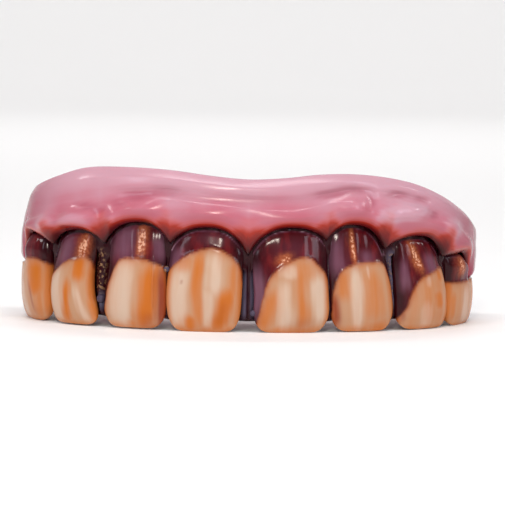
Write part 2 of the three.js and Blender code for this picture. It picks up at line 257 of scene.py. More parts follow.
PLANS = (
    ToothPlan(
        "tooth_1",
        pitch=1.02,
        apex=0.87,
        lean=0.07,
        band=0.05,
        root_out=0.8,
        arch=1.6,
        rim_highlight=0.1,
        crown_out=0.4,
        space=(0.2, 0.2),
        left=(-1.0, -1.0, -1.0, -1.0, -0.98, -0.9, -0.85),
        right=(0.82, 0.84, 0.84, 0.84, 0.8, 0.75, 0.7),
        crown=(
            (-1.3, 0.4), (-1.15, 0.62), (-0.7, 0.66), (-0.11, 0.7), (0.4, 0.72), (0.74, 0.7), (1.15, 0.6),
            (1.3, 0.4),
        ),
        strokes=(
            Stroke(AMBER, 0.0, -0.5, 1.2, 5.0, 0.3),
            Stroke(AMBER, 0.5, 0.3, 0.72, 0.42, 1.1, -0.3),
            Stroke(AMBER, -0.85, 0.05, 0.6, 0.32, 1.0),
            Stroke(AMBER, 0.7, 0.0, 0.5, 0.2, 0.7),
            Stroke(RUST, 0.35, 0.12, 0.42, 0.08, 0.5, -0.9),
            Stroke(IVORY_AND_HIGHLIGHT, -0.1, 0.02, 0.45, 0.2, 0.9, -0.9),
            Stroke(IVORY_AND_HIGHLIGHT, -0.3, 0.5, 0.68, 0.3, 0.5),
            Stroke(LILAC_REFLECTION, -0.15, 0.7, 0.95, 0.35, 1.0),
        ),
    ),
    ToothPlan(
        "tooth_2",
        pitch=0.81,
        apex=0.935,
        lean=0.17,
        band=0.12,
        rim_highlight=0.5,
        space=(0.2, 0.5),
        left=(-1.05, -1.14, -1.16, -1.06, -0.9, -0.82, -0.76),
        right=(0.96, 0.86, 0.7, 0.68, 0.76, 0.78, 0.76),
        crown=(
            (-1.3, 0.3), (-1.1, 0.45), (-0.95, 0.5), (-0.73, 0.54), (-0.48, 0.6), (-0.07, 0.68),
            (0.29, 0.71), (0.64, 0.73), (0.95, 0.66), (1.05, 0.5), (1.06, 0.3),
        ),
        strokes=(
            Stroke(AMBER, 0.0, -0.5, 1.2, 5.0, 0.15),
            Stroke(IVORY_AND_HIGHLIGHT, -0.5, 0.02, 0.66, 0.36, 1.0, 0.1),
            Stroke(AMBER, -0.02, 0.02, 0.48, 0.2, 1.1, 0.45),
            Stroke(AMBER, 0.45, 0.48, 0.74, 0.3, 1.15),
            Stroke(IVORY_AND_HIGHLIGHT, 0.5, 0.02, 0.42, 0.16, 0.8, -0.5),
            Stroke(AMBER, 0.9, 0.0, 0.3, 0.14, 0.9),
            Stroke(AMBER, -0.95, 0.0, 0.3, 0.2, 0.5),
            Stroke(LILAC_REFLECTION, -0.3, 0.64, 0.95, 0.42, 1.0),
            Stroke(COPPER_HIGHLIGHT, 0.5, 0.68, 0.97, 0.26, 1.0, 0.3),
        ),
        lift=1.0,
    ),
    ToothPlan(
        "tooth_3",
        pitch=0.9,
        apex=1.035,
        lean=0.11,
        space=(0.3, 0.25),
        left=(-0.88, -0.95, -0.91, -0.8, -0.78, -0.76, -0.74),
        right=(0.9, 0.95, 0.95, 0.93, 0.92, 0.88, 0.84),
        crown=(
            (-1.08, -0.1), (-0.97, 0.12), (-0.88, 0.26), (-0.82, 0.45), (-0.65, 0.6), (-0.44, 0.66),
            (-0.1, 0.67), (0.15, 0.67), (0.58, 0.64), (0.89, 0.6), (1.08, 0.56), (1.3, 0.4),
        ),
        strokes=(
            Stroke(IVORY_AND_HIGHLIGHT, -0.35, 0.0, 0.68, 0.42, 1.0, 0.1),
            Stroke(AMBER, 0.5, 0.0, 0.64, 0.32, 1.1, 0.5),
            Stroke(AMBER, 0.1, 0.0, 0.1, 0.5, 0.6),
            Stroke(RUST, 0.88, 0.0, 0.58, 0.17, 0.85),
            Stroke(RUST, 0.55, 0.0, 0.16, 0.3, 0.3),
            Stroke(IVORY_AND_HIGHLIGHT, 0.64, 0.22, 0.7, 0.035, 1.0, 0.1),
            Stroke(LILAC_REFLECTION, -0.4, 0.66, 0.98, 0.42, 1.0),
            Stroke(LILAC_REFLECTION, 0.8, 0.66, 0.88, 0.18, 0.9),
            Stroke(COPPER_HIGHLIGHT, 0.25, 0.7, 0.97, 0.16, 1.0, 0.3),
        ),
        lift=1.0,
        drip=True,
    ),
    ToothPlan(
        "tooth_4",
        pitch=1.0,
        apex=1.0,
        lean=0.03,
        band=0.06,
        rim_highlight=1.0,
        flute=0.02,
        space=(0.25, 0.75),
        left=(-0.99, -1.04, -1.06, -1.02, -0.96, -0.9, -0.84),
        right=(0.82, 0.84, 0.86, 0.88, 0.9, 0.87, 0.84),
        crown=(
            (-1.25, 0.1), (-1.15, 0.4), (-1.0, 0.56), (-0.75, 0.67), (-0.38, 0.76), (0.06, 0.81),
            (0.42, 0.79), (0.72, 0.72), (0.92, 0.62), (1.02, 0.48), (1.12, 0.3), (1.2, 0.0),
        ),
        strokes=(
            Stroke(IVORY_AND_HIGHLIGHT, -0.68, 0.05, 0.62, 0.32, 1.0, 0.15),
            # Painted highlight on the upper middle of the crown.
            Stroke(IVORY_AND_HIGHLIGHT, 0.28, 0.35, 0.78, 0.24, 0.9),
            Stroke(IVORY_AND_HIGHLIGHT, 0.14, 0.0, 0.45, 0.2, 0.7),
            Stroke(AMBER, -0.12, 0.0, 0.8, 0.15, 0.85, -0.08),
            Stroke(AMBER, -0.3, 0.0, 0.16, 0.26, 0.95, 0.3),
            Stroke(AMBER, 0.52, 0.0, 0.42, 0.24, 1.15, 0.6),
            Stroke(AMBER, -0.5, 0.58, 0.74, 0.3, 0.6),
            Stroke(AMBER, 0.78, 0.3, 0.72, 0.2, 0.65),
            Stroke(RUST, 0.5, 0.06, 0.3, 0.14, 0.22, 0.6),
            Stroke(RUST, -0.54, 0.475, 0.49, 0.03, 0.8),
            Stroke(LILAC_REFLECTION, 0.1, 0.84, 0.97, 0.5, 0.25),
            Stroke(LILAC_REFLECTION, -0.85, 0.6, 0.8, 0.2, 0.8),
        ),
    ),
    ToothPlan(
        "tooth_5",
        pitch=1.05,
        apex=1.007,
        lean=-0.02,
        band=0.08,
        rim_highlight=1.0,
        flute=0.05,
        space=(0.95, 0.3),
        left=(-0.86, -0.87, -0.85, -0.88, -0.9, -0.87, -0.84),
        right=(0.92, 0.98, 0.96, 0.93, 0.9, 0.86, 0.82),
        crown=(
            (-1.02, -0.1), (-0.96, 0.04), (-0.85, 0.16), (-0.78, 0.32), (-0.63, 0.49), (-0.42, 0.59),
            (-0.17, 0.66), (0.1, 0.71), (0.3, 0.73), (0.54, 0.71), (0.81, 0.61), (0.95, 0.53),
            (1.03, 0.36), (1.2, 0.1),
        ),
        strokes=(
            Stroke(IVORY_AND_HIGHLIGHT, -0.2, 0.0, 0.5, 0.22, 0.9),
            Stroke(IVORY_AND_HIGHLIGHT, 0.7, 0.1, 0.55, 0.26, 1.0),
            # Painted highlight on the upper middle of the crown.
            Stroke(IVORY_AND_HIGHLIGHT, -0.08, 0.52, 0.66, 0.28, 1.0),
            Stroke(AMBER, -0.62, 0.0, 0.42, 0.26, 0.85, 0.5),
            Stroke(AMBER, 0.25, 0.02, 0.72, 0.18, 0.8),
            Stroke(AMBER, 0.35, 0.5, 0.7, 0.34, 0.6),
            Stroke(RUST, 0.25, 0.02, 0.14, 0.3, 0.2),
            Stroke(LILAC_REFLECTION, -0.9, 0.15, 0.6, 0.16, 1.0),
            Stroke(LILAC_REFLECTION, 0.1, 0.72, 0.9, 0.6, 0.2),
            Stroke(COPPER_HIGHLIGHT, -0.15, 0.66, 0.76, 0.18, 0.9, 1.2),
        ),
    ),
    ToothPlan(
        "tooth_6",
        pitch=0.875,
        apex=1.035,
        lean=-0.22,
        rim_highlight=0.6,
        space=(0.5, 0.6),
        left=(-0.96, -1.0, -1.04, -1.06, -1.06, -1.02, -0.96),
        right=(0.9, 0.96, 0.9, 0.78, 0.64, 0.54, 0.46),
        crown=(
            (-1.15, 0.0), (-0.98, 0.14), (-0.9, 0.39), (-0.7, 0.56), (-0.47, 0.62), (-0.14, 0.65),
            (0.37, 0.66), (0.76, 0.65), (0.9, 0.56), (1.0, 0.38), (1.05, 0.1),
        ),
        strokes=(
            Stroke(AMBER, 0.0, -0.5, 1.2, 5.0, 0.12),
            Stroke(IVORY_AND_HIGHLIGHT, -0.25, 0.0, 0.62, 0.2, 1.0),
            Stroke(AMBER, -0.62, 0.3, 0.6, 0.26, 0.75),
            Stroke(RUST, -0.88, 0.05, 0.36, 0.16, 0.8),
            Stroke(AMBER, 0.3, 0.08, 0.6, 0.36, 0.6),
            Stroke(AMBER, 0.5, -0.2, 0.1, 0.6, 0.85),
            Stroke(AMBER, 0.9, 0.1, 0.6, 0.2, 0.7),
            # Painted highlight on the upper middle of the crown.
            Stroke(IVORY_AND_HIGHLIGHT, 0.2, 0.5, 0.63, 0.08, 0.8),
            Stroke(LILAC_REFLECTION, -0.75, 0.56, 0.88, 0.24, 1.0),
            Stroke(LILAC_REFLECTION, 0.25, 0.64, 0.76, 0.25, 0.9),
            Stroke(COPPER_HIGHLIGHT, -0.22, 0.66, 0.97, 0.1, 1.0),
        ),
        lift=0.5,
    ),
    ToothPlan(
        "tooth_7",
        pitch=0.94,
        apex=0.915,
        lean=-0.23,
        rim_highlight=0.6,
        space=(0.7, 0.2),
        left=(-0.94, -0.98, -1.0, -1.04, -1.06, -1.02, -0.98),
        right=(0.92, 0.98, 0.92, 0.76, 0.58, 0.46, 0.38),
        crown=(
            (-1.2, 0.02), (-0.98, 0.11), (-0.74, 0.24), (-0.52, 0.42), (-0.24, 0.54), (0.25, 0.61),
            (0.76, 0.66), (0.98, 0.64), (1.15, 0.5), (1.2, 0.2),
        ),
        strokes=(
            Stroke(AMBER, 0.0, -0.5, 1.2, 5.0, 0.3),
            Stroke(AMBER, 0.3, 0.0, 0.62, 0.7, 0.55),
            Stroke(IVORY_AND_HIGHLIGHT, -0.05, 0.0, 0.3, 0.2, 0.9),
            Stroke(AMBER, 0.4, 0.2, 0.42, 0.2, 1.0),
            Stroke(AMBER, 0.85, 0.0, 0.4, 0.25, 0.9),
            Stroke(RUST, -0.85, 0.12, 0.45, 0.14, 0.7),
            Stroke(AMBER, 0.6, 0.5, 0.65, 0.2, 0.8),
            # Painted highlight on the upper middle of the crown.
            Stroke(IVORY_AND_HIGHLIGHT, 0.12, 0.46, 0.58, 0.12, 0.9),
            Stroke(LILAC_REFLECTION, 0.35, 0.6, 0.8, 0.26, 1.0),
            Stroke(LILAC_REFLECTION, -0.7, 0.45, 0.75, 0.14, 0.95, 0.3),
            Stroke(COPPER_HIGHLIGHT, -0.25, 0.63, 0.94, 0.14, 1.0, -0.9),
        ),
        lift=0.5,
    ),
    ToothPlan(
        "tooth_8",
        pitch=0.98,
        apex=0.72,
        lean=-0.27,
        band=0.05,
        root_out=0.8,
        arch=1.6,
        space=(0.2, 0.2),
        left=(-1.04, -1.08, -1.08, -1.08, -1.1, -1.12, -1.12),
        right=(0.93, 0.95, 0.95, 0.95, 0.92, 0.88, 0.86),
        crown=(
            (-1.3, 0.4), (-1.15, 0.6), (-0.55, 0.6), (0.0, 0.615), (0.36, 0.63), (0.8, 0.63), (1.15, 0.6),
            (1.3, 0.4),
        ),
        strokes=(
            Stroke(AMBER, 0.0, -0.5, 1.2, 5.0, 0.35),
            Stroke(IVORY_AND_HIGHLIGHT, -0.2, 0.02, 0.52, 0.2, 1.0),
            Stroke(AMBER, 0.5, 0.0, 0.6, 0.4, 1.1),
            Stroke(AMBER, -0.85, 0.05, 0.5, 0.2, 0.7),
            Stroke(LILAC_REFLECTION, 0.05, 0.65, 0.95, 0.3, 1.0),
            Stroke(COPPER_HIGHLIGHT, -0.45, 0.7, 0.95, 0.18, 0.9),
            Stroke(RUST, -0.95, 0.6, 0.9, 0.2, 0.6),
        ),
    ),
)


@dataclass(frozen=True)
class Arch:
    """Plan of the dental arch at the tooth faces: a front arc, a tighter arc at each side, straight heels."""

    half_width: float = 32.6
    front_radius: float = 46.0
    side_radius: float = 20.5
    heel_length: float = 4.5

    @property
    def front_turn(self) -> float:
        """Angle at which the front arc meets a side arc."""
        return math.asin((self.half_width - self.side_radius) / (self.front_radius - self.side_radius))

    @property
    def front_length(self) -> float:
        """Length of the front arc from the middle to a side arc."""
        return self.front_radius * self.front_turn

    @property
    def side_length(self) -> float:
        """Length of one side arc."""
        return self.side_radius * (math.pi / 2 - self.front_turn)

    @property
    def half_length(self) -> float:
        """Length from the middle to the end of a heel."""
        return self.front_length + self.side_length + self.heel_length

    @property
    def setback(self) -> float:
        """How far the frame's origin lies behind the front of the arch: the heels end at the frame's back."""
        side_back = self.front_radius - (self.front_radius - self.side_radius) * math.cos(self.front_turn)
        return side_back + self.heel_length - CAD_BOX[1].y / MM

    def point(self, along: float, out: float, up: float) -> Vector:
        """A place on the arch, in metres in the shared frame.

        Args:
            along: distance along the tooth faces from the middle, negative to the viewer's left.
            out: distance outwards from those faces.
            up: height above the biting edges.

        Returns:
            The point.
        """
        side, distance = (-1 if along < 0 else 1), abs(along)
        spread = self.front_radius - self.side_radius
        centre_x = spread * math.sin(self.front_turn)
        centre_y = self.front_radius - spread * math.cos(self.front_turn)
        if distance <= self.front_length:
            turn = distance / self.front_radius
            x = (self.front_radius + out) * math.sin(turn)
            y = self.front_radius - (self.front_radius + out) * math.cos(turn)
        elif distance <= self.front_length + self.side_length:
            turn = self.front_turn + (distance - self.front_length) / self.side_radius
            x = centre_x + (self.side_radius + out) * math.sin(turn)
            y = centre_y - (self.side_radius + out) * math.cos(turn)
        else:
            x = self.half_width + out
            y = centre_y + distance - self.front_length - self.side_length
        return Vector((side * x, y - self.setback, up)) * MM


@dataclass(frozen=True)
class Layers:
    """Depths that the gum, the web and the teeth share, in millimetres."""

    crown_depth: float = 2.4
    web_thickness: float = 1.5
    pocket_depth: float = 0.9
    clearance: float = 0.3

    @property
    def web_face(self) -> float:
        """Where the web's plain face lies, out from the faces of the teeth."""
        return -(self.crown_depth + self.clearance)

    @property
    def wall_face(self) -> float:
        """Where the gum's front wall behind the web lies, out from the faces of the teeth."""
        return -(self.crown_depth + self.web_thickness + 2 * self.clearance)


LAYERS = Layers()


@dataclass(frozen=True)
class Place:
    """Where a tooth stands along the arch, in millimetres."""

    plan: ToothPlan
    start: float
    pitch: float
    root: float
    apex: float

    @property
    def middle(self) -> float:
        """Middle of the tooth's pitch."""
        return self.start + self.pitch / 2


@dataclass(frozen=True)
class GumLine:
    """The scalloped edge of the gum over the roots, and the rim above it.

    point_shifts: from the boundary between two crowns, of the central pitch. point_heights: of the gum line's
    height. groove_shares: where the groove lies over each root, from 0 at the root to 1 at the rim.
    rim_places: of the arch's half length. rim_heights: of the rim's height.
    """

    arch: Arch
    central_pitch: float = 11.2
    tooth_gap: float = 1.0
    height: float = 14.1
    rim_height: float = 21.1
    point_shifts: tuple[float, ...] = (0.38, 0.04, 0.05, 0.03, 0, -0.07, -0.19, -0.22, -0.47)
    point_heights: tuple[float, ...] = (0.57, 0.75, 0.78, 0.8, 0.7, 0.86, 0.765, 0.69, 0.46)
    groove_shares: tuple[float, ...] = (0.3, 0.37, 0.5, 0.54, 0.42, 0.58, 0.6, 0.45)
    rim_places: tuple[float, ...] = (
        -1, -0.9, -0.8, -0.7, -0.6, -0.48, -0.35, -0.22, -0.1, 0, 0.1, 0.2, 0.3, 0.4, 0.5, 0.6, 0.7, 0.8,
        0.9, 1,
    )  # fmt: skip
    rim_heights: tuple[float, ...] = (
        0.66, 0.79, 0.885, 0.923, 0.985, 1.052, 1.063, 1.05, 1.018, 1, 1.01, 1.034, 1.037, 1.015, 0.968,
        0.89, 0.797, 0.71, 0.63, 0.54,
    )  # fmt: skip

    def places(self) -> list[Place]:
        """Where each tooth stands, from the viewer's left.

        Returns:
            One place for each plan.
        """
        start = -self.central_pitch * sum(plan.pitch for plan in PLANS[:4])
        made = []
        for plan in PLANS:
            pitch = plan.pitch * self.central_pitch
            crown_start = start + plan.space[0] * self.tooth_gap
            crown_end = start + pitch - plan.space[1] * self.tooth_gap
            root = (crown_start + crown_end) / 2 + plan.lean * pitch
            made.append(Place(plan, start, pitch, root, plan.apex * self.height))
            start += pitch
        return made

    def points(self) -> list[tuple[float, float]]:
        """Each point of gum between two roots: its place along the arch and its height."""
        places = self.places()
        boundaries = [place.start for place in places] + [places[-1].start + places[-1].pitch]
        shifts = (shift * self.central_pitch for shift in self.point_shifts)
        heights = (share * self.height for share in self.point_heights)
        return [(start + shift, height) for start, shift, height in zip(boundaries, shifts, heights)]


TRACE_COUNT = 2400


class Scallops:
    """The gum line worked out for one arch, ready to be asked at any place along it."""

    def __init__(self, line: GumLine) -> None:
        """Works out the rows that the curves run through."""
        self.line = line
        self.arch = line.arch
        self.half_length = line.arch.half_length
        self.places = line.places()
        self.points = line.points()
        self.rim_at = [share * self.half_length for share in line.rim_places]
        self.rim_up = [share * line.rim_height for share in line.rim_heights]
        self.root_at = [place.root for place in self.places]
        self.apex_at = [-self.half_length, *self.root_at, self.half_length]
        self.apex_up = [self.points[0][1], *(place.apex for place in self.places), self.points[-1][1]]
        trace = self.trace(TRACE_COUNT)
        self.tree = kdtree.KDTree(len(trace))
        for k, spot in enumerate(trace):
            self.tree.insert((*spot, 0.0), k)
        self.tree.balance()

    def rim(self, along: float) -> float:
        """Height of the gum's upper rim."""
        return smooth_table(self.rim_at, self.rim_up, along)

    def apex(self, along: float) -> float:
        """Height of the line over the tops of the roots."""
        return smooth_table(self.apex_at, self.apex_up, along)

    def groove(self, along: float) -> float:
        """Place of the gum's groove, from 0 at the line over the roots to 1 at the rim."""
        return smooth_table(self.root_at, self.line.groove_shares, along)

    def offset(self, along: float) -> float:
        """How far a place lies from the root over it: 0 there and 1 at the points of gum beside it.

        Args:
            along: the place along the arch, in millimetres.

        Returns:
            The share.
        """
        if not self.points[0][0] < along < self.points[-1][0]:
            return 1.0
        i = next(k for k in range(len(self.places)) if self.points[k + 1][0] > along)
        root = self.places[i].root
        point = self.points[i] if along < root else self.points[i + 1]
        return min(max((along - root) / (point[0] - root), 0.0), 1.0)

    def edge(self, along: float) -> float:
        """Height of the scalloped edge.

        Args:
            along: the place along the arch, in millimetres.

        Returns:
            The height, in millimetres.
        """
        if along <= self.points[0][0]:
            return self.points[0][1]
        if along >= self.points[-1][0]:
            return self.points[-1][1]
        i = next(k for k in range(len(self.places)) if self.points[k + 1][0] > along)
        place = self.places[i]
        point = self.points[i] if along < place.root else self.points[i + 1]
        share = (1 - self.offset(along) ** place.plan.arch) ** 0.8
        return lerp(point[1], place.apex, share)

    def trace(self, count: int) -> list[tuple[float, float]]:
        """Evenly spaced places (along, up) on the scalloped edge."""
        first, last = self.points[0][0], self.points[-1][0]
        stations = [lerp(first, last, k / (count - 1)) for k in range(count)]
        return [(along, self.edge(along)) for along in stations]

    def below(self, along: float, up: float) -> float:
        """Distance of a place under the scalloped edge, in millimetres, negative above it."""
        distance = self.tree.find((along, up, 0.0))[2]
        return -distance if up >= self.edge(along) else distance


@dataclass
class Spot:
    """One vertex of a piece: where it lies, and what its paint attributes hold."""

    co: Vector
    paint: dict[str, Vector]


def set_spots(mesh: bmesh.types.BMesh, spots: Callable[[Vector], Spot]) -> None:
    """Moves every vertex of a starting shape to its spot and paints it.

    Args:
        mesh: a starting shape from -1 to 1.
        spots: gives the spot for a vertex of that shape.
    """
    layers: dict[str, bmesh.types.BMLayerItem] = {}
    made = [spots(vertex.co.copy()) for vertex in mesh.verts]
    for name in made[0].paint:
        layers[name] = mesh.verts.layers.float_vector.new(name)
    mesh.verts.ensure_lookup_table()
    for vertex, spot in zip(mesh.verts, made):
        vertex.co = spot.co
        for name, value in spot.paint.items():
            vertex[layers[name]] = value


def rolled_sheet(columns: int, rows: int, spots: Callable[[int, int], Spot]) -> bmesh.types.BMesh:
    """A sheet rolled round on itself into a closed body.

    Args:
        columns: steps along the body.
        rows: steps round its section.
        spots: gives the spot for a column and a row; the last row meets the first.

    Returns:
        The body, with its seam welded and both ends filled.
    """
    mesh = bmesh.new()
    bmesh.ops.create_grid(mesh, x_segments=columns, y_segments=rows, size=1.0)

    def at_step(corner: Vector) -> Spot:
        """Spot for a vertex of the flat sheet."""
        column = round((corner.x + 1) / 2 * columns)
        row = round((corner.y + 1) / 2 * rows)
        return spots(column, row % rows)

    set_spots(mesh, at_step)
    bmesh.ops.remove_doubles(mesh, verts=mesh.verts, dist=1e-4 * MM)
    bmesh.ops.holes_fill(mesh, edges=mesh.edges, sides=0)
    return mesh


def stand_in_for(
    name: str, mesh: bmesh.types.BMesh, material: bpy.types.Material, nodes: Sequence[str] = ()
) -> bpy.types.Object:
    """Makes a mesh a piece of the object.

    Args:
        name: the piece's name.
        mesh: its finished shape, in metres in the shared frame.
        material: its finish.
        nodes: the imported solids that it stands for.

    Returns:
        The new object.
    """
    bmesh.ops.recalc_face_normals(mesh, faces=mesh.faces)
    for face in mesh.faces:
        face.smooth = True
    data = bpy.data.meshes.new(name)
    mesh.to_mesh(data)
    mesh.free()
    data.materials.append(material)
    piece = bpy.data.objects.new(name, data)
    bpy.context.scene.collection.objects.link(piece)
    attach(piece, BODY)
    if nodes:
        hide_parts(*nodes)
    triangles = sum(len(face.vertices) - 2 for face in data.polygons)
    log.info("%s: %d triangles", name, triangles)
    return piece


COLOUR_MIX = ("ShaderNodeMix", {"data_type": "RGBA"})
SMOOTH_RANGE = ("ShaderNodeMapRange", {"interpolation_type": "SMOOTHSTEP"})


@dataclass(frozen=True)
class GumAcrylic:
    """Cast pink denture acrylic, polished: soft depth, a wet gloss, redder towards the gum line.

    cloud, grain: width of the clouds in the pink and of the margin's fine grain, in millimetres.
    """

    body: str = "#b46a7a"
    # Pale pink, for the cloudy tone and for the painted sheen towards the rim and on the swellings.
    pale: str = "#bb8f9c"
    flush: str = "#ac5664"
    # Painted shade on the sides of the arch and in the creases of the relief.
    shaded_pink: str = "#8c2a42"
    # Red paint along the gum's edge, ending in near black that is painted shade under the lip and in the
    # pockets.
    margin: tuple[tuple[float, str], ...] = (
        (0.15, "#c4584c"),
        (0.5, "#9c2a1c"),
        (0.8, "#640f10"),
        (1.0, "#260408"),
    )
    cloud: float = 7.0
    grain: float = 1.6

    def material(self) -> bpy.types.Material:
        """Builds the material.

        The paint holds the share of the margin's red, whose near-black end is painted shade under the lip and
        in the pockets; the share of painted shade on the sides and in the creases; and the share of painted
        sheen, which grows towards the rim and on the swellings. A cloud of real size varies the pink.

        Returns:
            The new material.
        """
        material = bpy.data.materials.new("polished_pink_acrylic")
        material.use_nodes = True
        tree = material.node_tree
        tree.nodes.clear()
        place = add_node(tree, "ShaderNodeTexCoord").outputs["Object"]
        paint = add_node(tree, "ShaderNodeAttribute", {"attribute_name": "gum_paint"})
        parts = add_node(tree, "ShaderNodeSeparateXYZ", inputs={0: paint.outputs["Vector"]})
        clouds = add_node(
            tree,
            "ShaderNodeTexNoise",
            inputs={"Vector": place, "Scale": 1 / (self.cloud * MM), "Detail": 2.0},
        )
        tone = add_node(
            tree,
            *SMOOTH_RANGE,
            {"Value": clouds.outputs["Fac"], "From Min": 0.35, "From Max": 0.7, "To Max": 0.5},
        )
        low_flush = add_node(
            tree,
            *SMOOTH_RANGE,
            {"Value": parts.outputs["Z"], "From Min": 0.0, "From Max": 0.55, "To Min": 0.75, "To Max": 0.0},
        )
        # Painted sheen: the pink turns paler towards the rim and on the swellings.
        painted_sheen = add_node(
            tree,
            *SMOOTH_RANGE,
            {"Value": parts.outputs["Z"], "From Min": 0.35, "From Max": 1.0, "To Max": 0.95},
        )
        base = add_node(
            tree, *COLOUR_MIX, {0: tone.outputs["Result"], 6: linear(self.body), 7: linear(self.pale)}
        )
        flushed = add_node(
            tree, *COLOUR_MIX, {0: low_flush.outputs["Result"], 6: base.outputs[2], 7: linear(self.flush)}
        )
        sheened = add_node(
            tree,
            *COLOUR_MIX,
            {0: painted_sheen.outputs["Result"], 6: flushed.outputs[2], 7: linear(self.pale)},
        )
        ragged = add_node(
            tree,
            "ShaderNodeTexNoise",
            inputs={"Vector": place, "Scale": 1 / (self.grain * MM), "Detail": 3.0},
        )
        margin_ragged = add_node(
            tree,
            "ShaderNodeMath",
            {"operation": "MULTIPLY_ADD"},
            {0: ragged.outputs["Fac"], 1: 0.08, 2: -0.04},
        )
        margin_sum = add_node(
            tree, "ShaderNodeMath", {"operation": "ADD"}, {0: parts.outputs["X"], 1: margin_ragged.outputs[0]}
        )
        margin = add_node(
            tree, *SMOOTH_RANGE, {"Value": margin_sum.outputs[0], "From Min": 0.05, "From Max": 0.5}
        )
        # The near-black end of this ramp is painted shade under the lip and in the pockets.
        ramp = add_node(tree, "ShaderNodeValToRGB", inputs={0: margin_sum.outputs[0]})
        for k, (at, code) in enumerate(self.margin):
            stop = ramp.color_ramp.elements[k] if k < 2 else ramp.color_ramp.elements.new(at)
            stop.position, stop.color = at, linear(code)
        # Painted shade: a deeper pink on the sides and in the creases.
        shaded = add_node(
            tree, *COLOUR_MIX, {0: parts.outputs["Y"], 6: sheened.outputs[2], 7: linear(self.shaded_pink)}
        )
        edged = add_node(
            tree, *COLOUR_MIX, {0: margin.outputs["Result"], 6: shaded.outputs[2], 7: ramp.outputs["Color"]}
        )
        bump = add_node(
            tree,
            "ShaderNodeBump",
            inputs={"Height": ragged.outputs["Fac"], "Distance": 0.03 * MM, "Strength": 0.35},
        )
        # The IOR is below acrylic's 1.49, so that the pale table's reflection doesn't veil the colour.
        shader = add_node(
            tree,
            "ShaderNodeBsdfPrincipled",
            inputs={
                "Base Color": edged.outputs[2],
                "Roughness": 0.22,
                "IOR": 1.37,
                "Subsurface Weight": 0.12,
                "Subsurface Radius": (1.0, 0.35, 0.3),
                "Subsurface Scale": 0.8 * MM,
                "Normal": bump.outputs["Normal"],
            },
        )
        add_node(tree, "ShaderNodeOutputMaterial", inputs={"Surface": shader.outputs["BSDF"]})
        return material


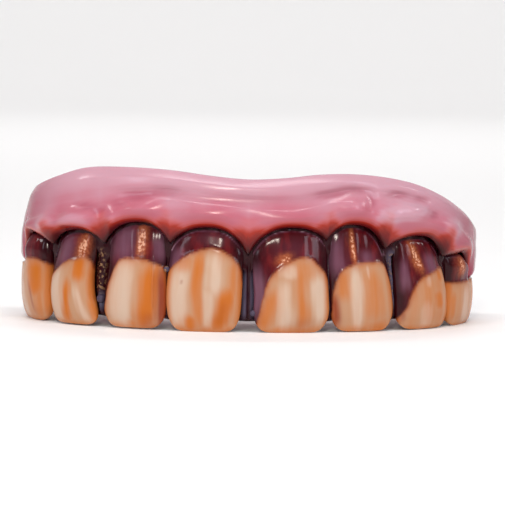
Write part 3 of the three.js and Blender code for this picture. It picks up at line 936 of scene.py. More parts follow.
@dataclass(frozen=True)
class StainedTooth:
    """Tooth-coloured acrylic with brushed amber stain under clear gloss, and a plum lacquer over the root.
    Painted highlights and painted shade lie on both, and painted reflections on the lacquer.

    brush_width, brush_length: size of one bristle's streak. pool_width, pool_length: size of the thin places
    in the lacquer. fleck: size of the metal flecks in it. All are in millimetres.
    """

    cream: str = "#b28a6c"
    # Pale cream stain, also used for painted highlights on the crowns.
    ivory_and_highlight: str = "#c3ac99"
    # Amber stain, also used for painted shade along the crown's flanks and biting edge.
    amber: str = "#b9620e"
    rust: str = "#7c2410"
    plum: str = "#480b13"
    wine: str = "#601418"
    # Painted shade on the lacquer under the gum's lip and on the root's flanks.
    shaded_plum: str = "#22050b"
    # Painted reflection of the side lights on the lacquer.
    lilac_reflection: str = "#6e4657"
    # Painted highlight along the lacquer's pooled rim under the gum.
    rim_highlight: str = "#b9a3a8"
    # Painted warm highlight on the roots, with a paler core.
    copper_highlight: str = "#b0603a"
    highlight_core: str = "#d9a284"
    brush_width: float = 1.4
    brush_length: float = 12.0
    pool_width: float = 1.1
    pool_length: float = 3.5
    fleck: float = 0.35

    def material(self) -> bpy.types.Material:
        """Builds the material. Streaks of real brush width run up the tooth in its own paint coordinates.

        Returns:
            The new material.
        """
        material = bpy.data.materials.new("stained_acrylic_and_plum_lacquer")
        material.use_nodes = True
        tree = material.node_tree
        tree.nodes.clear()
        place = add_node(tree, "ShaderNodeTexCoord").outputs["Object"]
        stain = add_node(tree, "ShaderNodeAttribute", {"attribute_name": "stain"})
        stains = add_node(tree, "ShaderNodeSeparateXYZ", inputs={0: stain.outputs["Vector"]})
        glaze_and_painted_light = add_node(tree, "ShaderNodeAttribute", {"attribute_name": "glaze_and_painted_light"})
        glazes = add_node(tree, "ShaderNodeSeparateXYZ", inputs={0: glaze_and_painted_light.outputs["Vector"]})
        brush = add_node(tree, "ShaderNodeAttribute", {"attribute_name": "brush"})
        grain = (1 / self.brush_width, 1 / self.brush_length, 0.0)
        stretch = add_node(
            tree, "ShaderNodeMapping", inputs={"Vector": brush.outputs["Vector"], "Scale": grain}
        )
        streaks = add_node(
            tree, "ShaderNodeTexNoise", inputs={"Vector": stretch.outputs[0], "Scale": 1.0, "Detail": 3.0}
        )
        streaky = add_node(
            tree,
            "ShaderNodeMath",
            {"operation": "MULTIPLY_ADD"},
            {0: streaks.outputs["Fac"], 1: 0.8, 2: -0.36},
        )
        # Amber stain, with painted shade along the crown's flanks and biting edge.
        amber_sum = add_node(
            tree, "ShaderNodeMath", {"operation": "ADD"}, {0: stains.outputs["X"], 1: streaky.outputs[0]}
        )
        amber = add_node(
            tree,
            *SMOOTH_RANGE,
            {"Value": amber_sum.outputs[0], "From Min": -0.05, "From Max": 1.25, "To Max": 0.95},
        )
        # Pale cream stain and painted highlights on the crowns.
        ivory_and_highlight = add_node(
            tree,
            *SMOOTH_RANGE,
            {"Value": stains.outputs["Z"], "From Min": 0.1, "From Max": 0.9, "To Max": 0.9},
        )
        pale = add_node(
            tree, *COLOUR_MIX, {0: ivory_and_highlight.outputs["Result"], 6: linear(self.cream), 7: linear(self.ivory_and_highlight)}
        )
        amberish = add_node(
            tree, *COLOUR_MIX, {0: amber.outputs["Result"], 6: pale.outputs[2], 7: linear(self.amber)}
        )
        crown = add_node(
            tree, *COLOUR_MIX, {0: stains.outputs["Y"], 6: amberish.outputs[2], 7: linear(self.rust)}
        )
        flecks = add_node(
            tree,
            "ShaderNodeTexNoise",
            inputs={"Vector": place, "Scale": 1 / (self.fleck * MM), "Detail": 4.0},
        )
        fleck_share = add_node(
            tree,
            *SMOOTH_RANGE,
            {
                "Value": flecks.outputs["Fac"],
                "From Min": 0.35,
                "From Max": 0.65,
                "To Min": 0.6,
                "To Max": 1.1,
            },
        )
        # Painted reflection of the side lights on the lacquer.
        lilac_reflection = add_node(
            tree,
            "ShaderNodeMath",
            {"operation": "MULTIPLY", "use_clamp": True},
            {0: glazes.outputs["Y"], 1: 0.9},
        )
        # Painted highlight along the lacquer's pooled rim under the gum.
        rim_highlight = add_node(
            tree,
            "ShaderNodeMapRange",
            inputs={"Value": glazes.outputs["Y"], "From Min": 1.0, "From Max": 2.0},
        )
        # Painted warm highlights on the roots, grainy with the flecks and paler at their core.
        copper_highlight = add_node(
            tree,
            "ShaderNodeMath",
            {"operation": "MULTIPLY", "use_clamp": True},
            {0: glazes.outputs["X"], 1: fleck_share.outputs["Result"]},
        )
        rim = add_node(tree, "ShaderNodeSeparateXYZ", inputs={0: brush.outputs["Vector"]})
        pool_grain = (1 / self.pool_width, 1 / self.pool_length, 0.0)
        pools = add_node(
            tree, "ShaderNodeMapping", inputs={"Vector": brush.outputs["Vector"], "Scale": pool_grain}
        )
        pooled = add_node(
            tree, "ShaderNodeTexNoise", inputs={"Vector": pools.outputs[0], "Scale": 1.0, "Detail": 2.0}
        )
        thin = add_node(
            tree, *SMOOTH_RANGE, {"Value": pooled.outputs["Fac"], "From Min": 0.45, "From Max": 0.65}
        )
        body = add_node(
            tree, *COLOUR_MIX, {0: thin.outputs["Result"], 6: linear(self.plum), 7: linear(self.wine)}
        )
        # Painted shade: the plum darkens under the gum's lip and on the root's flanks.
        lacquer = add_node(
            tree, *COLOUR_MIX, {0: rim.outputs["Z"], 6: body.outputs[2], 7: linear(self.shaded_plum)}
        )
        lilac_reflection_over = add_node(
            tree, *COLOUR_MIX, {0: lilac_reflection.outputs[0], 6: lacquer.outputs[2], 7: linear(self.lilac_reflection)}
        )
        rim_highlight_over = add_node(
            tree,
            *COLOUR_MIX,
            {0: rim_highlight.outputs["Result"], 6: lilac_reflection_over.outputs[2], 7: linear(self.rim_highlight)},
        )
        highlight_core = add_node(tree, *SMOOTH_RANGE, {"Value": copper_highlight.outputs[0], "From Min": 0.6, "From Max": 1.0})
        metal = add_node(
            tree, *COLOUR_MIX, {0: highlight_core.outputs["Result"], 6: linear(self.copper_highlight), 7: linear(self.highlight_core)}
        )
        copper_highlight_over = add_node(
            tree, *COLOUR_MIX, {0: copper_highlight.outputs[0], 6: rim_highlight_over.outputs[2], 7: metal.outputs[2]}
        )
        colour = add_node(
            tree, *COLOUR_MIX, {0: glazes.outputs["Z"], 6: crown.outputs[2], 7: copper_highlight_over.outputs[2]}
        )
        roughness = add_node(
            tree,
            "ShaderNodeMapRange",
            inputs={"Value": glazes.outputs["Z"], "To Min": 0.22, "To Max": 0.15},
        )
        bump = add_node(
            tree,
            "ShaderNodeBump",
            inputs={"Height": flecks.outputs["Fac"], "Distance": 0.02 * MM, "Strength": 0.12},
        )
        # The IOR is below a lacquer's 1.5, so that the pale table's reflection doesn't veil the colour.
        shader = add_node(
            tree,
            "ShaderNodeBsdfPrincipled",
            inputs={
                "Base Color": colour.outputs[2],
                "Roughness": roughness.outputs["Result"],
                "IOR": 1.27,
                "Subsurface Weight": 0.08,
                "Subsurface Radius": (1.0, 0.6, 0.35),
                "Subsurface Scale": 0.5 * MM,
                "Normal": bump.outputs["Normal"],
            },
        )
        add_node(tree, "ShaderNodeOutputMaterial", inputs={"Surface": shader.outputs["BSDF"]})
        return material


@dataclass(frozen=True)
class WebLacquer:
    """Near-black plum lacquer, run thick between the teeth, with metal flecks caught in it.

    fleck: size of the flecks, in millimetres.
    """

    plum: str = "#2b070e"
    # Painted reflection of the lights on the dark lacquer, bluish grey.
    slate_reflection: str = "#575368"
    gold: str = "#8d6a4a"
    fleck: float = 0.45

    def material(self) -> bpy.types.Material:
        """Builds the material. The paint holds the share of painted bluish-grey reflections and the gold
        flecks' share.

        Returns:
            The new material.
        """
        material = bpy.data.materials.new("thick_plum_lacquer")
        material.use_nodes = True
        tree = material.node_tree
        tree.nodes.clear()
        place = add_node(tree, "ShaderNodeTexCoord").outputs["Object"]
        paint = add_node(tree, "ShaderNodeAttribute", {"attribute_name": "web_paint"})
        parts = add_node(tree, "ShaderNodeSeparateXYZ", inputs={0: paint.outputs["Vector"]})
        flecks = add_node(
            tree,
            "ShaderNodeTexNoise",
            inputs={"Vector": place, "Scale": 1 / (self.fleck * MM), "Detail": 3.0},
        )
        speckle = add_node(
            tree, *SMOOTH_RANGE, {"Value": flecks.outputs["Fac"], "From Min": 0.5, "From Max": 0.62}
        )
        gold = add_node(
            tree,
            "ShaderNodeMath",
            {"operation": "MULTIPLY", "use_clamp": True},
            {0: speckle.outputs["Result"], 1: parts.outputs["Y"]},
        )
        # Painted bluish-grey reflections in runs over the dark lacquer.
        reflected = add_node(
            tree, *COLOUR_MIX, {0: parts.outputs["X"], 6: linear(self.plum), 7: linear(self.slate_reflection)}
        )
        colour = add_node(
            tree, *COLOUR_MIX, {0: gold.outputs[0], 6: reflected.outputs[2], 7: linear(self.gold)}
        )
        bump = add_node(
            tree,
            "ShaderNodeBump",
            inputs={"Height": flecks.outputs["Fac"], "Distance": 0.03 * MM, "Strength": 0.4},
        )
        # The IOR is below a lacquer's 1.5, so that the pale table's reflection doesn't veil the colour.
        shader = add_node(
            tree,
            "ShaderNodeBsdfPrincipled",
            inputs={
                "Base Color": colour.outputs[2],
                "Roughness": 0.16,
                "IOR": 1.26,
                "Normal": bump.outputs["Normal"],
            },
        )
        add_node(tree, "ShaderNodeOutputMaterial", inputs={"Surface": shader.outputs["BSDF"]})
        return material


@dataclass(frozen=True)
class Swell:
    """A swelling or a hollow in the front of the gum.

    along: its middle, of the arch's half length. up: of the rim's height. length, height: how far it reaches
    along and up, in millimetres. proud: how far it stands out, negative for a hollow.
    """

    along: float
    up: float
    length: float
    height: float
    proud: float


NO_MARGIN = 9.0


@dataclass
class Gum:
    """The pink acrylic gum: its scalloped front, rounded rim, open channel and pockets for the roots."""

    scallops: Scallops
    columns: int = 440
    pocket_roof: float = 1.2
    lip_proud: float = 0.5
    lip_thickness: float = 1.1
    ridge_proud: float = 1.1
    groove_proud: float = 0.6
    root_bulge: float = 0.5
    heel_proud_share: float = 0.3
    rim_setback: float = 0.9
    rim_round: float = 0.8
    flange_thickness: float = 2.4
    front_wall: float = 1.2
    front_wall_bottom: float = 2.5
    channel_width: float = 8.0
    floor_height: float = 6.0
    floor_thickness: float = 2.0
    lingual_wall: float = 1.8
    lingual_height: float = 12.5
    end_wall: float = 2.2
    end_slope: float = 1.4
    end_round: float = 3.0
    margin_width: float = 0.85
    point_margin_width: float = 2.1
    end_margin_width: float = 0.25
    smoothing: int = 6
    left_lean: float = 1.8
    tuck: float = 0.45
    tuck_height: float = 6.0
    curl: tuple[float, float] = (0.55, 0.95)
    curl_reach: tuple[float, float] = (1.4, 2.8)
    swells: tuple[Swell, ...] = (
        Swell(-0.602, 0.65, 2.0, 1.6, 1.0),
        Swell(-0.497, 0.69, 2.8, 1.5, 0.95),
        Swell(-0.379, 0.7, 1.8, 1.6, 0.65),
        Swell(-0.416, 0.64, 1.1, 2.4, -0.52),
        Swell(-0.553, 0.57, 1.0, 1.8, -0.45),
        Swell(-0.548, 0.73, 1.8, 0.6, -0.38),
        Swell(-0.48, 0.785, 2.0, 0.6, -0.38),
        Swell(-0.416, 0.76, 1.6, 0.6, -0.38),
        Swell(-0.357, 0.81, 2.0, 0.7, -0.45),
        Swell(-0.31, 0.875, 2.2, 0.7, -0.45),
        Swell(-0.227, 0.9, 2.4, 0.7, -0.38),
        Swell(-0.305, 0.79, 3.0, 1.1, 0.45),
        Swell(0.0, 0.86, 8.0, 0.8, -0.25),
        Swell(0.286, 0.82, 2.5, 1.2, 0.45),
        Swell(0.222, 0.895, 2.2, 0.6, -0.45),
        Swell(0.29, 0.925, 2.2, 0.6, -0.45),
        Swell(0.34, 0.82, 1.0, 1.6, -0.45),
        Swell(0.373, 0.74, 2.0, 1.3, 0.85),
        Swell(0.456, 0.79, 3.0, 1.3, 0.95),
        Swell(0.424, 0.89, 2.0, 0.6, -0.45),
        Swell(0.489, 0.855, 2.0, 0.6, -0.45),
        Swell(0.532, 0.755, 1.6, 0.7, -0.45),
        Swell(0.605, 0.66, 2.2, 1.5, 0.9),
        Swell(0.563, 0.585, 1.0, 1.8, -0.45),
    )

    def section(self, along: float) -> list[tuple[float, float, float]]:
        """The closed section at a place along the arch.

        Args:
            along: the place, in millimetres from the middle.

        Returns:
            Points of (out, up, front), where front is 1 on the front, -1 in the pockets and 0 elsewhere.
        """
        s = self.scallops
        edge, apex, rim, offset = s.edge(along), s.apex(along), s.rim(along), s.offset(along)
        bulge = self.root_bulge * (1 - offset**2) ** 2
        heelward = smoothstep(0.55, 0.9, abs(along) / s.half_length)
        proud = lerp(1, self.heel_proud_share, heelward)
        ridge_proud, groove_proud = self.ridge_proud * proud, self.groove_proud * proud
        groove = lerp(apex, rim, s.groove(along))
        ridge = lerp(apex, groove, 0.72)
        wall_face = LAYERS.wall_face
        channel_front = wall_face - self.front_wall
        channel_back = channel_front - self.channel_width
        lingual_face = channel_back - self.lingual_wall
        flange_back = self.groove_proud - self.flange_thickness
        shoulder = min(apex + LAYERS.pocket_depth + self.pocket_roof, rim - self.flange_thickness)
        underside = self.floor_height - self.floor_thickness
        pocket_top = edge + LAYERS.pocket_depth
        front = [
            (self.lip_proud - self.lip_thickness / 2, edge, 0.25),
            (self.lip_proud, edge + self.lip_thickness / 2, 0.5),
            (lerp(self.lip_proud, ridge_proud, 0.7) + bulge, lerp(edge, ridge, 0.5), 2.0),
            (ridge_proud + bulge / 2, ridge, 2.0),
            (groove_proud, groove, 2.0),
            (groove_proud, lerp(groove, rim, 0.5), 2.0),
            (0.0, rim - self.rim_round, 1.0),
            (-self.rim_setback, rim, 0.8),
        ]
        rim_inside = (flange_back - self.rim_round / 2, rim - self.rim_round)
        channel = [
            (*rim_inside, 0.8),
            (flange_back - self.rim_round, lerp(rim, shoulder, 0.6), 1.0),
            (channel_front, shoulder, 1.5),
            (channel_front, self.floor_height, 1.4),
            (channel_back, self.floor_height, 1.4),
            (channel_back, self.lingual_height, 0.8),
        ]
        back = [
            (lingual_face, self.lingual_height, 0.8),
            (lingual_face, underside, 2.0),
            (channel_front, underside, 0.6),
            (channel_front + self.front_wall / 4, self.front_wall_bottom, 0.4),
        ]
        pocket = [
            (wall_face, self.front_wall_bottom, 0.4, wall_face, 0.0),
            (wall_face, pocket_top, 0.1, wall_face * 0.5, 0.5),
            (self.lip_proud - self.lip_thickness, pocket_top, 0.15, wall_face * 0.15, 0.85),
        ]
        wall_start = s.half_length - self.end_wall
        closing = smoothstep(wall_start - self.end_slope, wall_start, abs(along))
        closed = []
        for out, up, turn in channel:
            across = (rim_inside[0] - out) / (rim_inside[0] - lingual_face)
            closed.append((out, lerp(up, lerp(rim_inside[1], self.lingual_height, across), closing), turn))
        past = max(s.points[0][0] - along, along - s.points[-1][0], 0.0)
        heel = smoothstep(0, self.end_slope, past)
        filled = [
            (
                lerp(out, heel_out, heel),
                lerp(up, lerp(self.front_wall_bottom, edge, heel_up), heel),
                turn,
            )
            for out, up, turn, heel_out, heel_up in pocket
        ]
        return self.filleted(
            [(front, 4, 7, 1.0), (closed, 3, 3, 0.0), (back, 3, 2, 0.0), (filled, 2, 2, -1.0)]
        )

    @staticmethod
    def filleted(
        stretches: Sequence[tuple[Sequence[tuple[float, float, float]], int, int, float]],
    ) -> list[tuple[float, float, float]]:
        """Rounds the corners of a closed outline.

        Args:
            stretches: each a list of corners (out, up, round), the points of each curve, the points of each
                straight run after it, and the mark that its points get.

        Returns:
            Points of (out, up, mark).
        """
        corners = [(corner, bend, run, mark) for row, bend, run, mark in stretches for corner in row]
        points: list[tuple[float, float, float]] = []
        for i, ((out, up, turn), bend, run, mark) in enumerate(corners):
            at = Vector((out, up))
            before = Vector(corners[i - 1][0][:2])
            after_corner, _, _, _ = corners[(i + 1) % len(corners)]
            after = Vector(after_corner[:2])
            start = at.lerp(before, min(turn / max((at - before).length, 1e-6), 0.45))
            end = at.lerp(after, min(turn / max((at - after).length, 1e-6), 0.45))
            onward = after.lerp(at, min(after_corner[2] / max((at - after).length, 1e-6), 0.45))
            for k in range(bend):
                t = k / (bend - 1)
                spot = start * (1 - t) ** 2 + at * (2 * t * (1 - t)) + end * t**2
                points.append((spot.x, spot.y, mark))
            for k in range(1, run + 1):
                spot = end.lerp(onward, k / (run + 1))
                points.append((spot.x, spot.y, mark))
        return points

    def relief(self, along: float, up: float) -> float:
        """How far the front of the gum stands out from its plain section at a place.

        Args:
            along: the place along the arch, in millimetres.
            up: its height, in millimetres.

        Returns:
            The distance, in millimetres.
        """
        total = 0.0
        for swell in self.swells:
            middle = swell.along * self.scallops.half_length
            if abs(along - middle) < 3 * swell.length:
                height = swell.up * self.scallops.line.rim_height
                total += swell.proud * hump(along, middle, swell.length) * hump(up, height, swell.height)
        return total + 0.06 * noise.noise(Vector((along / 3.5, up / 2.5, 0)))

    def rounded_end(self, along: float, out: float, up: float) -> tuple[float, float]:
        """Draws a section in towards its middle near the end of a heel.

        Args:
            along: the place along the arch, in millimetres.
            out: how far out the section's point lies.
            up: its height, in millimetres.

        Returns:
            The point's new out and up.
        """
        into = (abs(along) - self.scallops.half_length + self.end_round) / self.end_round
        share = math.sqrt(1 - (0.97 * min(max(into, 0.0), 1.0)) ** 2)
        middle_out = LAYERS.wall_face - self.front_wall - self.channel_width / 2
        return lerp(middle_out, out, share), lerp(self.floor_height + self.floor_thickness, up, share)

    def build(self, material: bpy.types.Material) -> bpy.types.Object:
        """Builds the gum as one rolled sheet and paints its margin.

        Args:
            material: the pink acrylic.

        Returns:
            The piece.
        """
        s = self.scallops
        step = 2 * s.half_length / self.columns
        stations = [-s.half_length + i * step for i in range(self.columns + 1)]
        sections = [self.section(along) for along in stations]

        def spot(column: int, row: int) -> Spot:
            """Spot of one vertex of the rolled sheet."""
            along = stations[column]
            out, up, front = sections[column][row]
            relieved, relief = out, 0.0
            past = max(s.points[0][0] - along, along - s.points[-1][0], 0.0)
            above = max(-s.below(along, up), past)
            if front > 0:
                edge, rim = s.edge(along), s.rim(along)
                relief = self.relief(along, up) * smoothstep(0, 0.8, up - edge) * smoothstep(0, 1.2, rim - up)
                relieved += relief
                point = smoothstep(0.5, 1.0, s.offset(along))
                reach = lerp(*self.curl_reach, point)
                roll = 1 - math.sqrt(1 - (1 - min(above / reach, 1)) ** 2)
                relieved -= lerp(*self.curl, point) * roll * smoothstep(self.end_slope, 0, past)
                side = smoothstep(0.7, 0.88, abs(along) / s.half_length)
                relieved -= self.tuck * side * smoothstep(self.tuck_height, 0, up - edge)
            high = min(max(2 * up / s.rim(along) - 1, 0), 1)  # 0 up to half of the rim's height, 1 at the rim
            relieved -= self.left_lean * smoothstep(-0.66, -0.86, along / s.half_length) * high**2
            out, up = self.rounded_end(along, relieved, up)
            co = s.arch.point(along, out, up)
            offset = s.offset(along)
            # Inside the pockets the margin takes its near-black end: painted shade.
            distance = above if front > 0 else 3 * past if front < 0 else NO_MARGIN
            reach = lerp(self.margin_width, self.point_margin_width, smoothstep(0.55, 1.0, offset))
            outer = max(s.root_at[0] - along, along - s.root_at[-1])
            reach = lerp(reach, self.end_margin_width, smoothstep(0.8, 3.0, outer))
            margin = math.exp(-((distance / reach) ** 1.5))
            height = smoothstep(0, 1, (up - s.edge(along)) / max(s.rim(along) - s.edge(along), 0.1))
            # Painted shade: a deeper pink on the sides of the arch and in the creases of the relief.
            side = smoothstep(0.5, 0.85, abs(along) / s.half_length)
            crease_shade = 0.45 * smoothstep(0.0, -0.35, relief)
            # Painted sheen: paler towards the rim and on the swellings.
            pale = height + 0.5 * smoothstep(0.15, 0.7, relief)
            return Spot(co, {"gum_paint": Vector((margin, max(side, crease_shade), pale))})

        mesh = rolled_sheet(self.columns, len(sections[0]), spot)
        for _ in range(self.smoothing):
            bmesh.ops.smooth_vert(
                mesh, verts=mesh.verts, factor=0.5, use_axis_x=True, use_axis_y=True, use_axis_z=True
            )
        return stand_in_for("gum_visual", mesh, material, ["gum"])


@dataclass(frozen=True)
class Run:
    """A run of painted bluish-grey reflection or of gold flecks in the web, in millimetres along the arch and
    up.
    """

    along: float
    low: float
    high: float
    width: float
    slate_reflection: float = 0.0
    gold: float = 0.0


@dataclass
class Web:
    """The dark lacquered strip behind the teeth, which swells forward into the gaps between them."""

    scallops: Scallops
    columns: int = 420
    face_rows: int = 60
    back_rows: int = 12
    bottom: float = 1.4
    swell: float = 1.5
    band: float = 1.4
    run_fade: float = 0.8
    runs: tuple[Run, ...] = (
        Run(-21.6, 5.0, 10.5, 0.7, gold=0.9),
        Run(-21.4, 2.6, 4.6, 0.7, slate_reflection=0.9),
        Run(-0.55, 2.0, 8.0, 0.3, slate_reflection=1.0),
        Run(0.75, 2.0, 8.0, 0.32, slate_reflection=1.0),
        Run(21.0, 3.5, 11.0, 0.8, slate_reflection=0.7, gold=0.5),
        Run(11.6, 3.0, 10.0, 0.3, slate_reflection=0.4, gold=0.3),
        Run(-29.6, 5.0, 10.0, 0.4, slate_reflection=0.5),
    )

    def forward(self, along: float, up: float) -> float:
        """How far the lacquer stands forward of the plain web at a place.

        Args:
            along: the place along the arch, in millimetres.
            up: its height, in millimetres.

        Returns:
            The distance, in millimetres.
        """
        total = 0.0
        for left, right in zip(self.scallops.places, self.scallops.places[1:]):
            level = up / self.scallops.line.height
            right_edge = left.middle + smooth_table(TOOTH_LEVELS, left.plan.right, level) * left.pitch / 2
            left_edge = right.middle + smooth_table(TOOTH_LEVELS, right.plan.left, level) * right.pitch / 2
            middle, half = (right_edge + left_edge) / 2, max((left_edge - right_edge) / 2, 0.25)
            total = max(total, hump(along, middle, half + 0.25))
        total = max(total, smoothstep(self.band + 0.7, self.band, self.scallops.below(along, up)))
        groove = 0.4 * hump(along, 0.1, 0.2) * smoothstep(11, 8, up)
        lumps = 0.16 * noise.noise(Vector((along / 0.8, up / 1.6, 3.0)))
        return self.swell * total * (1 - groove) + lumps * total

    def build(self, material: bpy.types.Material) -> bpy.types.Object:
        """Builds the web as one rolled sheet: its face, its top, its back and its bottom.

        Args:
            material: the thick lacquer.

        Returns:
            The piece.
        """
        s = self.scallops
        first, last = s.points[0][0] + LAYERS.clearance, s.points[-1][0] - LAYERS.clearance
        face = LAYERS.web_face
        back = face - LAYERS.web_thickness

        def spot(column: int, row: int) -> Spot:
            """Spot of one vertex: rows run up the face and down the back."""
            along = lerp(first, last, column / self.columns)
            top = s.edge(along) + LAYERS.pocket_depth - LAYERS.clearance
            if row < self.face_rows:
                share = row / (self.face_rows - 1)
                up = lerp(self.bottom, top, share)
                round_off = (1 - min(share, 1 - share) / 0.03) if min(share, 1 - share) < 0.03 else 0.0
                ends = smoothstep(0, 1.0, min(along - first, last - along))
                near_bottom = smoothstep(0, 0.8, up - self.bottom)
                reach = self.forward(along, up) * ends * lerp(0.55, 1, near_bottom)
                out = face + reach - 0.3 * round_off
            else:
                share = (row - self.face_rows) / (self.back_rows - 1)
                up, out = lerp(top, self.bottom, share), back
            slate_reflection = gold = 0.0
            for run in self.runs:
                started = smoothstep(run.low - self.run_fade, run.low + self.run_fade, up)
                going = smoothstep(run.high + self.run_fade, run.high - self.run_fade, up)
                cover = hump(along, run.along, run.width) * started * going
                slate_reflection, gold = max(slate_reflection, run.slate_reflection * cover), max(gold, run.gold * cover)
            return Spot(s.arch.point(along, out, up), {"web_paint": Vector((slate_reflection, gold, 0))})

        mesh = rolled_sheet(self.columns, self.face_rows + self.back_rows, spot)
        return stand_in_for("web_visual", mesh, material, ["web"])


@dataclass
class Tooth:
    """One tooth: a stained crown with a worn edge, a step at the lacquer's border, and a rounded root."""

    place: Place
    scallops: Scallops
    cuts: int = 58
    edge_depth: float = 1.2
    root_setback: float = 0.15
    root_cover: float = 2.2
    tip_lift: float = 0.2
    shoulder_drop: float = 0.5
    shoulder_width: float = 1.1
    band_drop: float = 0.35
    drip_proud: float = 0.22
    edge_squareness: float = 6.0
    crown_squareness: float = 2.4
    root_squareness: float = 2.05
    back_bulge: float = 1.0
    profile_levels: tuple[float, ...] = (0.0, 0.05, 0.15, 0.35, 0.55, 0.7, 0.85, 1.0)
    profile: tuple[float, ...] = (-0.7, -0.35, -0.05, 0.15, 0.1, -0.1, -0.42, -0.9)

    def trace_border(self) -> None:
        """Runs a smooth curve through the points of the lacquer's border, in millimetres on the face."""
        rows = self.place.plan.crown
        ranks = list(range(len(rows)))
        count = 160
        self.border = []
        for k in range(count):
            at = (len(rows) - 1) * k / (count - 1)
            across = smooth_table(ranks, [row[0] for row in rows], at)
            level = smooth_table(ranks, [row[1] for row in rows], at)
            self.border.append(Vector((across * self.face_half_width, level * self.place.apex, 0)))
        self.border_tree = kdtree.KDTree(count)
        for k, spot in enumerate(self.border):
            self.border_tree.insert(spot, k)
        self.border_tree.balance()

    @property
    def face_half_width(self) -> float:
        """Half of the crown's width at half of its height, in millimetres."""
        left = smooth_table(TOOTH_LEVELS, self.place.plan.left, 0.4)
        right = smooth_table(TOOTH_LEVELS, self.place.plan.right, 0.4)
        return (right - left) / 2 * self.place.pitch / 2

    def crown_distance(self, across: float, level: float) -> float:
        """Distance from the lacquer's border, in millimetres, positive on the crown.

        Args:
            across: -1 to 1 over the tooth's width.
            level: 0 to 1 from the biting edge to the gum line.

        Returns:
            The distance.
        """
        at = Vector((across * self.face_half_width, level * self.place.apex, 0))
        nearest, rank, distance = self.border_tree.find(at)
        ahead = self.border[min(rank + 1, len(self.border) - 1)] - self.border[max(rank - 1, 0)]
        inside = ahead.cross(at - nearest).z < 0
        wobble = 0.1 * noise.noise(Vector((at.x / 0.8, at.y / 0.8, self.place.middle)))
        return (distance if inside else -distance) + wobble

    def spot(self, corner: Vector) -> Spot:
        """Spot for a vertex of the starting block.

        Args:
            corner: a point on a cube from -1 to 1: x across, y from back to face, z from edge to root.

        Returns:
            Where that vertex lies on the tooth, and its paint.
        """
        plan, apex = self.place.plan, self.place.apex
        rim = max(abs(corner.x), abs(corner.y), 1e-6)
        square = self.edge_squareness
        draw = (rim**square + abs(corner.z) ** square) ** (-1 / square)
        reach, share = rim * draw, (corner.z * draw + 1) / 2
        root_top = apex + self.root_cover
        up = lerp(plan.lift * self.tip_lift, root_top, share)
        level = up / apex
        left = smooth_table(TOOTH_LEVELS, plan.left, level)
        right = smooth_table(TOOTH_LEVELS, plan.right, level)
        half_width = (right - left) / 2 * self.place.pitch / 2
        middle = self.place.middle + (left + right) / 2 * self.place.pitch / 2
        power = lerp(self.crown_squareness, self.root_squareness, smoothstep(0.45, 0.8, level))
        x, y = corner.x / rim, corner.y / rim
        pull = (abs(x) ** power + abs(y) ** power) ** (-1 / power) * reach
        across, depth = x * pull, y * pull
        distance = self.crown_distance(across, level)
        crown = smoothstep(-0.3, 0.15, distance)
        face = smooth_table(self.profile_levels, self.profile, level) - self.root_setback * (1 - crown)
        rear = lerp(self.profile[0] - self.edge_depth, -LAYERS.crown_depth, min(share / 0.08, 1))
        face += plan.crown_out + plan.root_out * smoothstep(0.6, 0.85, level)
        axis = rear + self.back_bulge
        out = axis + (face - axis if depth > 0 else self.back_bulge) * depth
        along = middle + across * half_width
        below = self.scallops.below(along, up)
        if depth > 0:
            seed = self.place.middle
            out += 0.07 * depth * noise.noise(Vector((across * half_width / 2.2, up / 3.0, seed)))
            flutes = noise.noise(Vector((across * half_width / 0.9, up / 7, seed + 9)))
            out += plan.flute * (1 - crown) * depth * flutes
            if plan.drip:
                hanging = smoothstep(0.18, 0.26, level) * smoothstep(0.7, 0.64, level)
                out += self.drip_proud * hump(across, 0.63, 0.028) * hanging
            past = min(max((plan.band + self.shoulder_width - below) / self.shoulder_width, 0), 1)
            out -= self.shoulder_drop * depth * (1 - math.sqrt(1 - past**2))
            out += 0.1 * self.pooled_rim_highlight(across, below)
            out -= self.band_drop * depth * smoothstep(plan.band + 0.1, plan.band - 0.3, below)
        under = (apex - self.scallops.edge(along)) * smoothstep(0.8, 1, share)
        co = self.scallops.arch.point(along, out, up - under)
        return Spot(co, self.paint(across, level, half_width, distance, below))

    def paint(
        self, across: float, level: float, half_width: float, distance: float, below: float
    ) -> dict[str, Vector]:
        """What the paint attributes hold at a place on the tooth.

        Args:
            across: -1 to 1 over the tooth's width.
            level: 0 to 1 from the biting edge to the gum line.
            half_width: in millimetres there.
            distance: from the lacquer's border, positive on the crown.
            below: distance below the gum's edge, in millimetres.

        Returns:
            The paint attributes: the stains, among them painted highlights and painted shade at the crown's
                edges; the
            lacquer's share with its painted highlights and reflections; and the brush places with painted
            shade.
        """
        seed = self.place.middle
        band = self.place.plan.band
        # Painted shade: darker lacquer under the gum's lip and on the root's flanks.
        dark = max(smoothstep(band + 0.2, band - 0.1, below), 0.85 * smoothstep(0.6, 0.92, abs(across)))
        drift = 0.09 * noise.noise(Vector((across * 2.5, level * 3.5, seed)))
        drift += 0.08 * noise.noise(Vector((across * 8, level * 1.5, seed + 5)))
        layers = {"stain": Vector((0, 0, 0)), "glaze_and_painted_light": Vector((0, 0, 0))}
        for stroke in self.place.plan.strokes:
            values = layers[stroke.pigment.layer]
            channel = stroke.pigment.channel
            values[channel] = max(values[channel], stroke.cover(across + drift, level))
        halo = 0.75 * math.exp(-abs(distance) / 0.28) * smoothstep(-0.3, 0.05, distance)
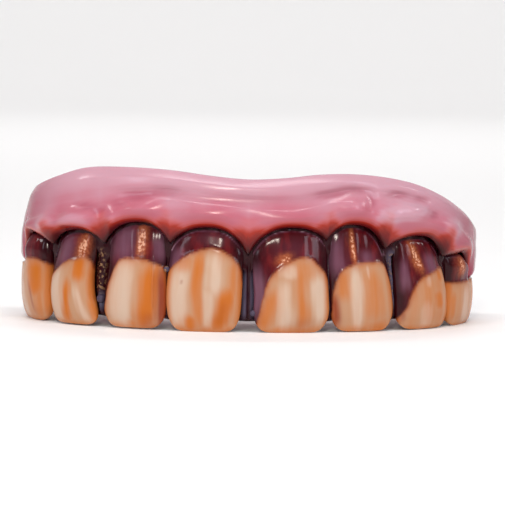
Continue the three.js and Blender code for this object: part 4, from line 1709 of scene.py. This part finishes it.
        # Amber bleeding from the lacquer's border, and painted shade along the crown's flanks and biting edge.
        bleed_and_edge_shade = max(0.6 * math.exp(-max(distance, 0) / 0.9), 0.85 * smoothstep(0.7, 0.98, abs(across)))
        bleed_and_edge_shade = max(bleed_and_edge_shade, 0.7 * smoothstep(0.12, 0.0, level))
        layers["stain"].y = max(layers["stain"].y, halo)
        layers["stain"].x = max(layers["stain"].x, bleed_and_edge_shade)
        layers["glaze_and_painted_light"].z = smoothstep(0.2, -0.2, distance)
        # Painted highlight along the pooled rim.
        layers["glaze_and_painted_light"].y += 1.5 * self.pooled_rim_highlight(across, below)
        # The brush attribute's third number carries that painted shade.
        layers["brush"] = Vector((across * half_width + 3 * seed, level * self.place.apex, dark))
        return layers

    def pooled_rim_highlight(self, across: float, below: float) -> float:
        """How much of the pooled rim of lacquer, with its painted highlight, lies at a place, from 0 to 1."""
        plan = self.place.plan
        patchy = 0.75 + 0.9 * noise.noise(Vector((across * 6, below, self.place.middle)))
        return plan.rim_highlight * min(max(patchy, 0), 1) * hump(below, plan.band + 0.22, 0.12)

    def build(self, material: bpy.types.Material) -> bpy.types.Object:
        """Builds the tooth from a finely cut block.

        Args:
            material: the stained acrylic.

        Returns:
            The piece.
        """
        self.trace_border()
        mesh = bmesh.new()
        bmesh.ops.create_cube(mesh, size=2.0)
        bmesh.ops.subdivide_edges(mesh, edges=mesh.edges, cuts=self.cuts, use_grid_fill=True)
        set_spots(mesh, self.spot)
        name = self.place.plan.name
        return stand_in_for(f"{name}_visual", mesh, material, [name])


@dataclass(frozen=True)
class Drop:
    """A dried drop: its place on the arch and its radius, in millimetres."""

    along: float
    out: float
    up: float
    radius: float
    slate_reflection: float = 0.0
    gold: float = 0.0


@dataclass
class Drops:
    """The few dried drops of lacquer in the gaps and on the gum's edge."""

    scallops: Scallops
    drops: tuple[Drop, ...] = (
        Drop(-11.4, -0.9, 8.4, 0.42, slate_reflection=0.6, gold=1.0),
        Drop(0.8, -1.3, 2.6, 0.45, slate_reflection=0.6),
        Drop(-21.5, -1.2, 3.9, 0.6, slate_reflection=0.5),
    )

    def build(self, material: bpy.types.Material) -> bpy.types.Object:
        """Builds all the drops as one piece.

        Args:
            material: the thick lacquer.

        Returns:
            The piece.
        """
        mesh = bmesh.new()
        layer = mesh.verts.layers.float_vector.new("web_paint")
        for drop in self.drops:
            centre = self.scallops.arch.point(drop.along, drop.out, drop.up)
            made = bmesh.ops.create_icosphere(
                mesh, subdivisions=4, radius=drop.radius * MM, matrix=Matrix.Translation(centre)
            )
            for vertex in made["verts"]:
                vertex[layer] = Vector((drop.slate_reflection, drop.gold, 0))
        return stand_in_for("lacquer_drops", mesh, material)


@dataclass(frozen=True)
class Softbox:
    """One studio light: where it stands and its size, in metres, its power in watts and its colour."""

    name: str
    position: tuple[float, float, float]
    width: float
    height: float
    power: float
    colour: str = "#ffffff"
    aim: tuple[float, float, float] = (0.0, 0.0, 0.011)


@dataclass
class Studio:
    """The pale table, the soft lights and the camera at the photograph's angle."""

    arch: Arch
    table_colour: str = "#f4f3f2"
    table_radius: float = 1.2
    sweep_radius: float = 0.5
    sweep_height: float = 1.1
    surround: str = "#f1f1f6"
    surround_strength: float = 0.32
    distance: float = 0.35
    elevation: float = 4.5
    roll: float = 0.75
    aim_across: float = 0.6
    aim_up: float = 11.0
    frame_width: float = 68.24
    sensor: float = 36.0
    softboxes: tuple[Softbox, ...] = (
        Softbox("front_key", (-0.05, -0.52, 0.22), 0.055, 0.075, 1.0, "#fff4e6"),
        Softbox("left_kicker", (-0.5, -0.1, 0.3), 0.07, 0.1, 0.45),
        Softbox("right_kicker", (0.5, -0.1, 0.3), 0.07, 0.1, 0.45),
        Softbox("left_box", (-0.36, -0.4, 0.2), 0.1, 0.22, 0.5, "#eef0ff"),
        Softbox("right_box", (0.36, -0.4, 0.2), 0.1, 0.22, 0.5, "#eef0ff"),
        Softbox("overhead", (0.0, -0.2, 0.5), 0.4, 0.12, 1.45),
        Softbox("sweep_light", (0.0, 0.5, 1.0), 0.6, 0.4, 9.0, aim=(0.0, 1.6, 0.1)),
    )

    def set_table(self) -> None:
        """Lays the pale table under the teeth, swept up all round into a backdrop without a horizon."""
        mesh = bmesh.new()
        profile = [mesh.verts.new((self.table_radius * k / 4, 0, 0)) for k in range(5)]
        for k in range(1, 13):
            turn = k / 12 * math.pi / 2
            reach = self.table_radius + self.sweep_radius * math.sin(turn)
            profile.append(mesh.verts.new((reach, 0, self.sweep_radius * (1 - math.cos(turn)))))
        profile.append(mesh.verts.new((self.table_radius + self.sweep_radius, 0, self.sweep_height)))
        edges = [mesh.edges.new(pair) for pair in zip(profile, profile[1:])]
        bmesh.ops.spin(
            mesh,
            geom=[*profile, *edges],
            cent=(0, 0, 0),
            axis=(0, 0, 1),
            angle=2 * math.pi,
            steps=96,
            use_merge=True,
        )
        bmesh.ops.remove_doubles(mesh, verts=mesh.verts, dist=1e-5)
        bmesh.ops.recalc_face_normals(mesh, faces=mesh.faces)
        if min(mesh.faces, key=lambda face: face.calc_center_median().length).normal.z < 0:
            bmesh.ops.reverse_faces(mesh, faces=mesh.faces)
        for face in mesh.faces:
            face.smooth = True
        data = bpy.data.meshes.new("table")
        mesh.to_mesh(data)
        mesh.free()
        material = bpy.data.materials.new("matt_white_paint")
        material.use_nodes = True
        shader = material.node_tree.nodes["Principled BSDF"]
        shader.inputs["Base Color"].default_value = linear(self.table_colour)
        shader.inputs["Roughness"].default_value = 0.6
        data.materials.append(material)
        table = bpy.data.objects.new("table", data)
        bpy.context.scene.collection.objects.link(table)

    def light(self) -> None:
        """Hangs the softboxes and sets the pale surround."""
        for box in self.softboxes:
            lamp = bpy.data.lights.new(box.name, "AREA")
            lamp.shape = "RECTANGLE"
            lamp.size, lamp.size_y = box.width, box.height
            lamp.energy = box.power
            lamp.color = linear(box.colour)[:3]
            holder = bpy.data.objects.new(box.name, lamp)
            holder.location = box.position
            holder.rotation_euler = (Vector(box.aim) - holder.location).to_track_quat("-Z", "Y").to_euler()
            bpy.context.scene.collection.objects.link(holder)
        world = bpy.data.worlds.new("pale_surround")
        world.use_nodes = True
        back = world.node_tree.nodes["Background"]
        back.inputs["Color"].default_value = linear(self.surround)
        back.inputs["Strength"].default_value = self.surround_strength
        bpy.context.scene.world = world

    def place_camera(self) -> None:
        """Sets the camera where the photograph was taken from."""
        lens = bpy.data.cameras.new("portrait")
        lens.sensor_width = self.sensor
        lens.lens = self.sensor * self.distance / (self.frame_width * MM)
        camera = bpy.data.objects.new("portrait", lens)
        tilt = math.radians(self.elevation)
        aim = self.arch.point(0, 0, self.aim_up) + Vector((self.aim_across * MM, 0, 0))
        camera.location = aim + Vector((0, -math.cos(tilt), math.sin(tilt))) * self.distance
        facing = Matrix.Rotation(math.pi / 2 - tilt, 4, "X")
        camera.rotation_euler = (facing @ Matrix.Rotation(math.radians(self.roll), 4, "Z")).to_euler()
        bpy.context.scene.collection.objects.link(camera)
        bpy.context.scene.camera = camera

    def build(self) -> None:
        """Sets up the whole studio."""
        self.set_table()
        self.light()
        self.place_camera()
        bpy.context.scene.view_settings.view_transform = "Standard"


def main() -> None:
    """Builds the teeth piece by piece, then the studio, logging each piece's triangle count."""
    logging.basicConfig(level=logging.INFO, format="%(name)s %(message)s")
    arch = Arch()
    scallops = Scallops(GumLine(arch))
    Gum(scallops).build(GumAcrylic().material())
    web_lacquer = WebLacquer().material()
    Web(scallops).build(web_lacquer)
    tooth_finish = StainedTooth().material()
    for place in scallops.places:
        Tooth(place, scallops).build(tooth_finish)
    Drops(scallops).build(web_lacquer)
    Studio(arch).build()


if __name__ == "__main__":
    main()
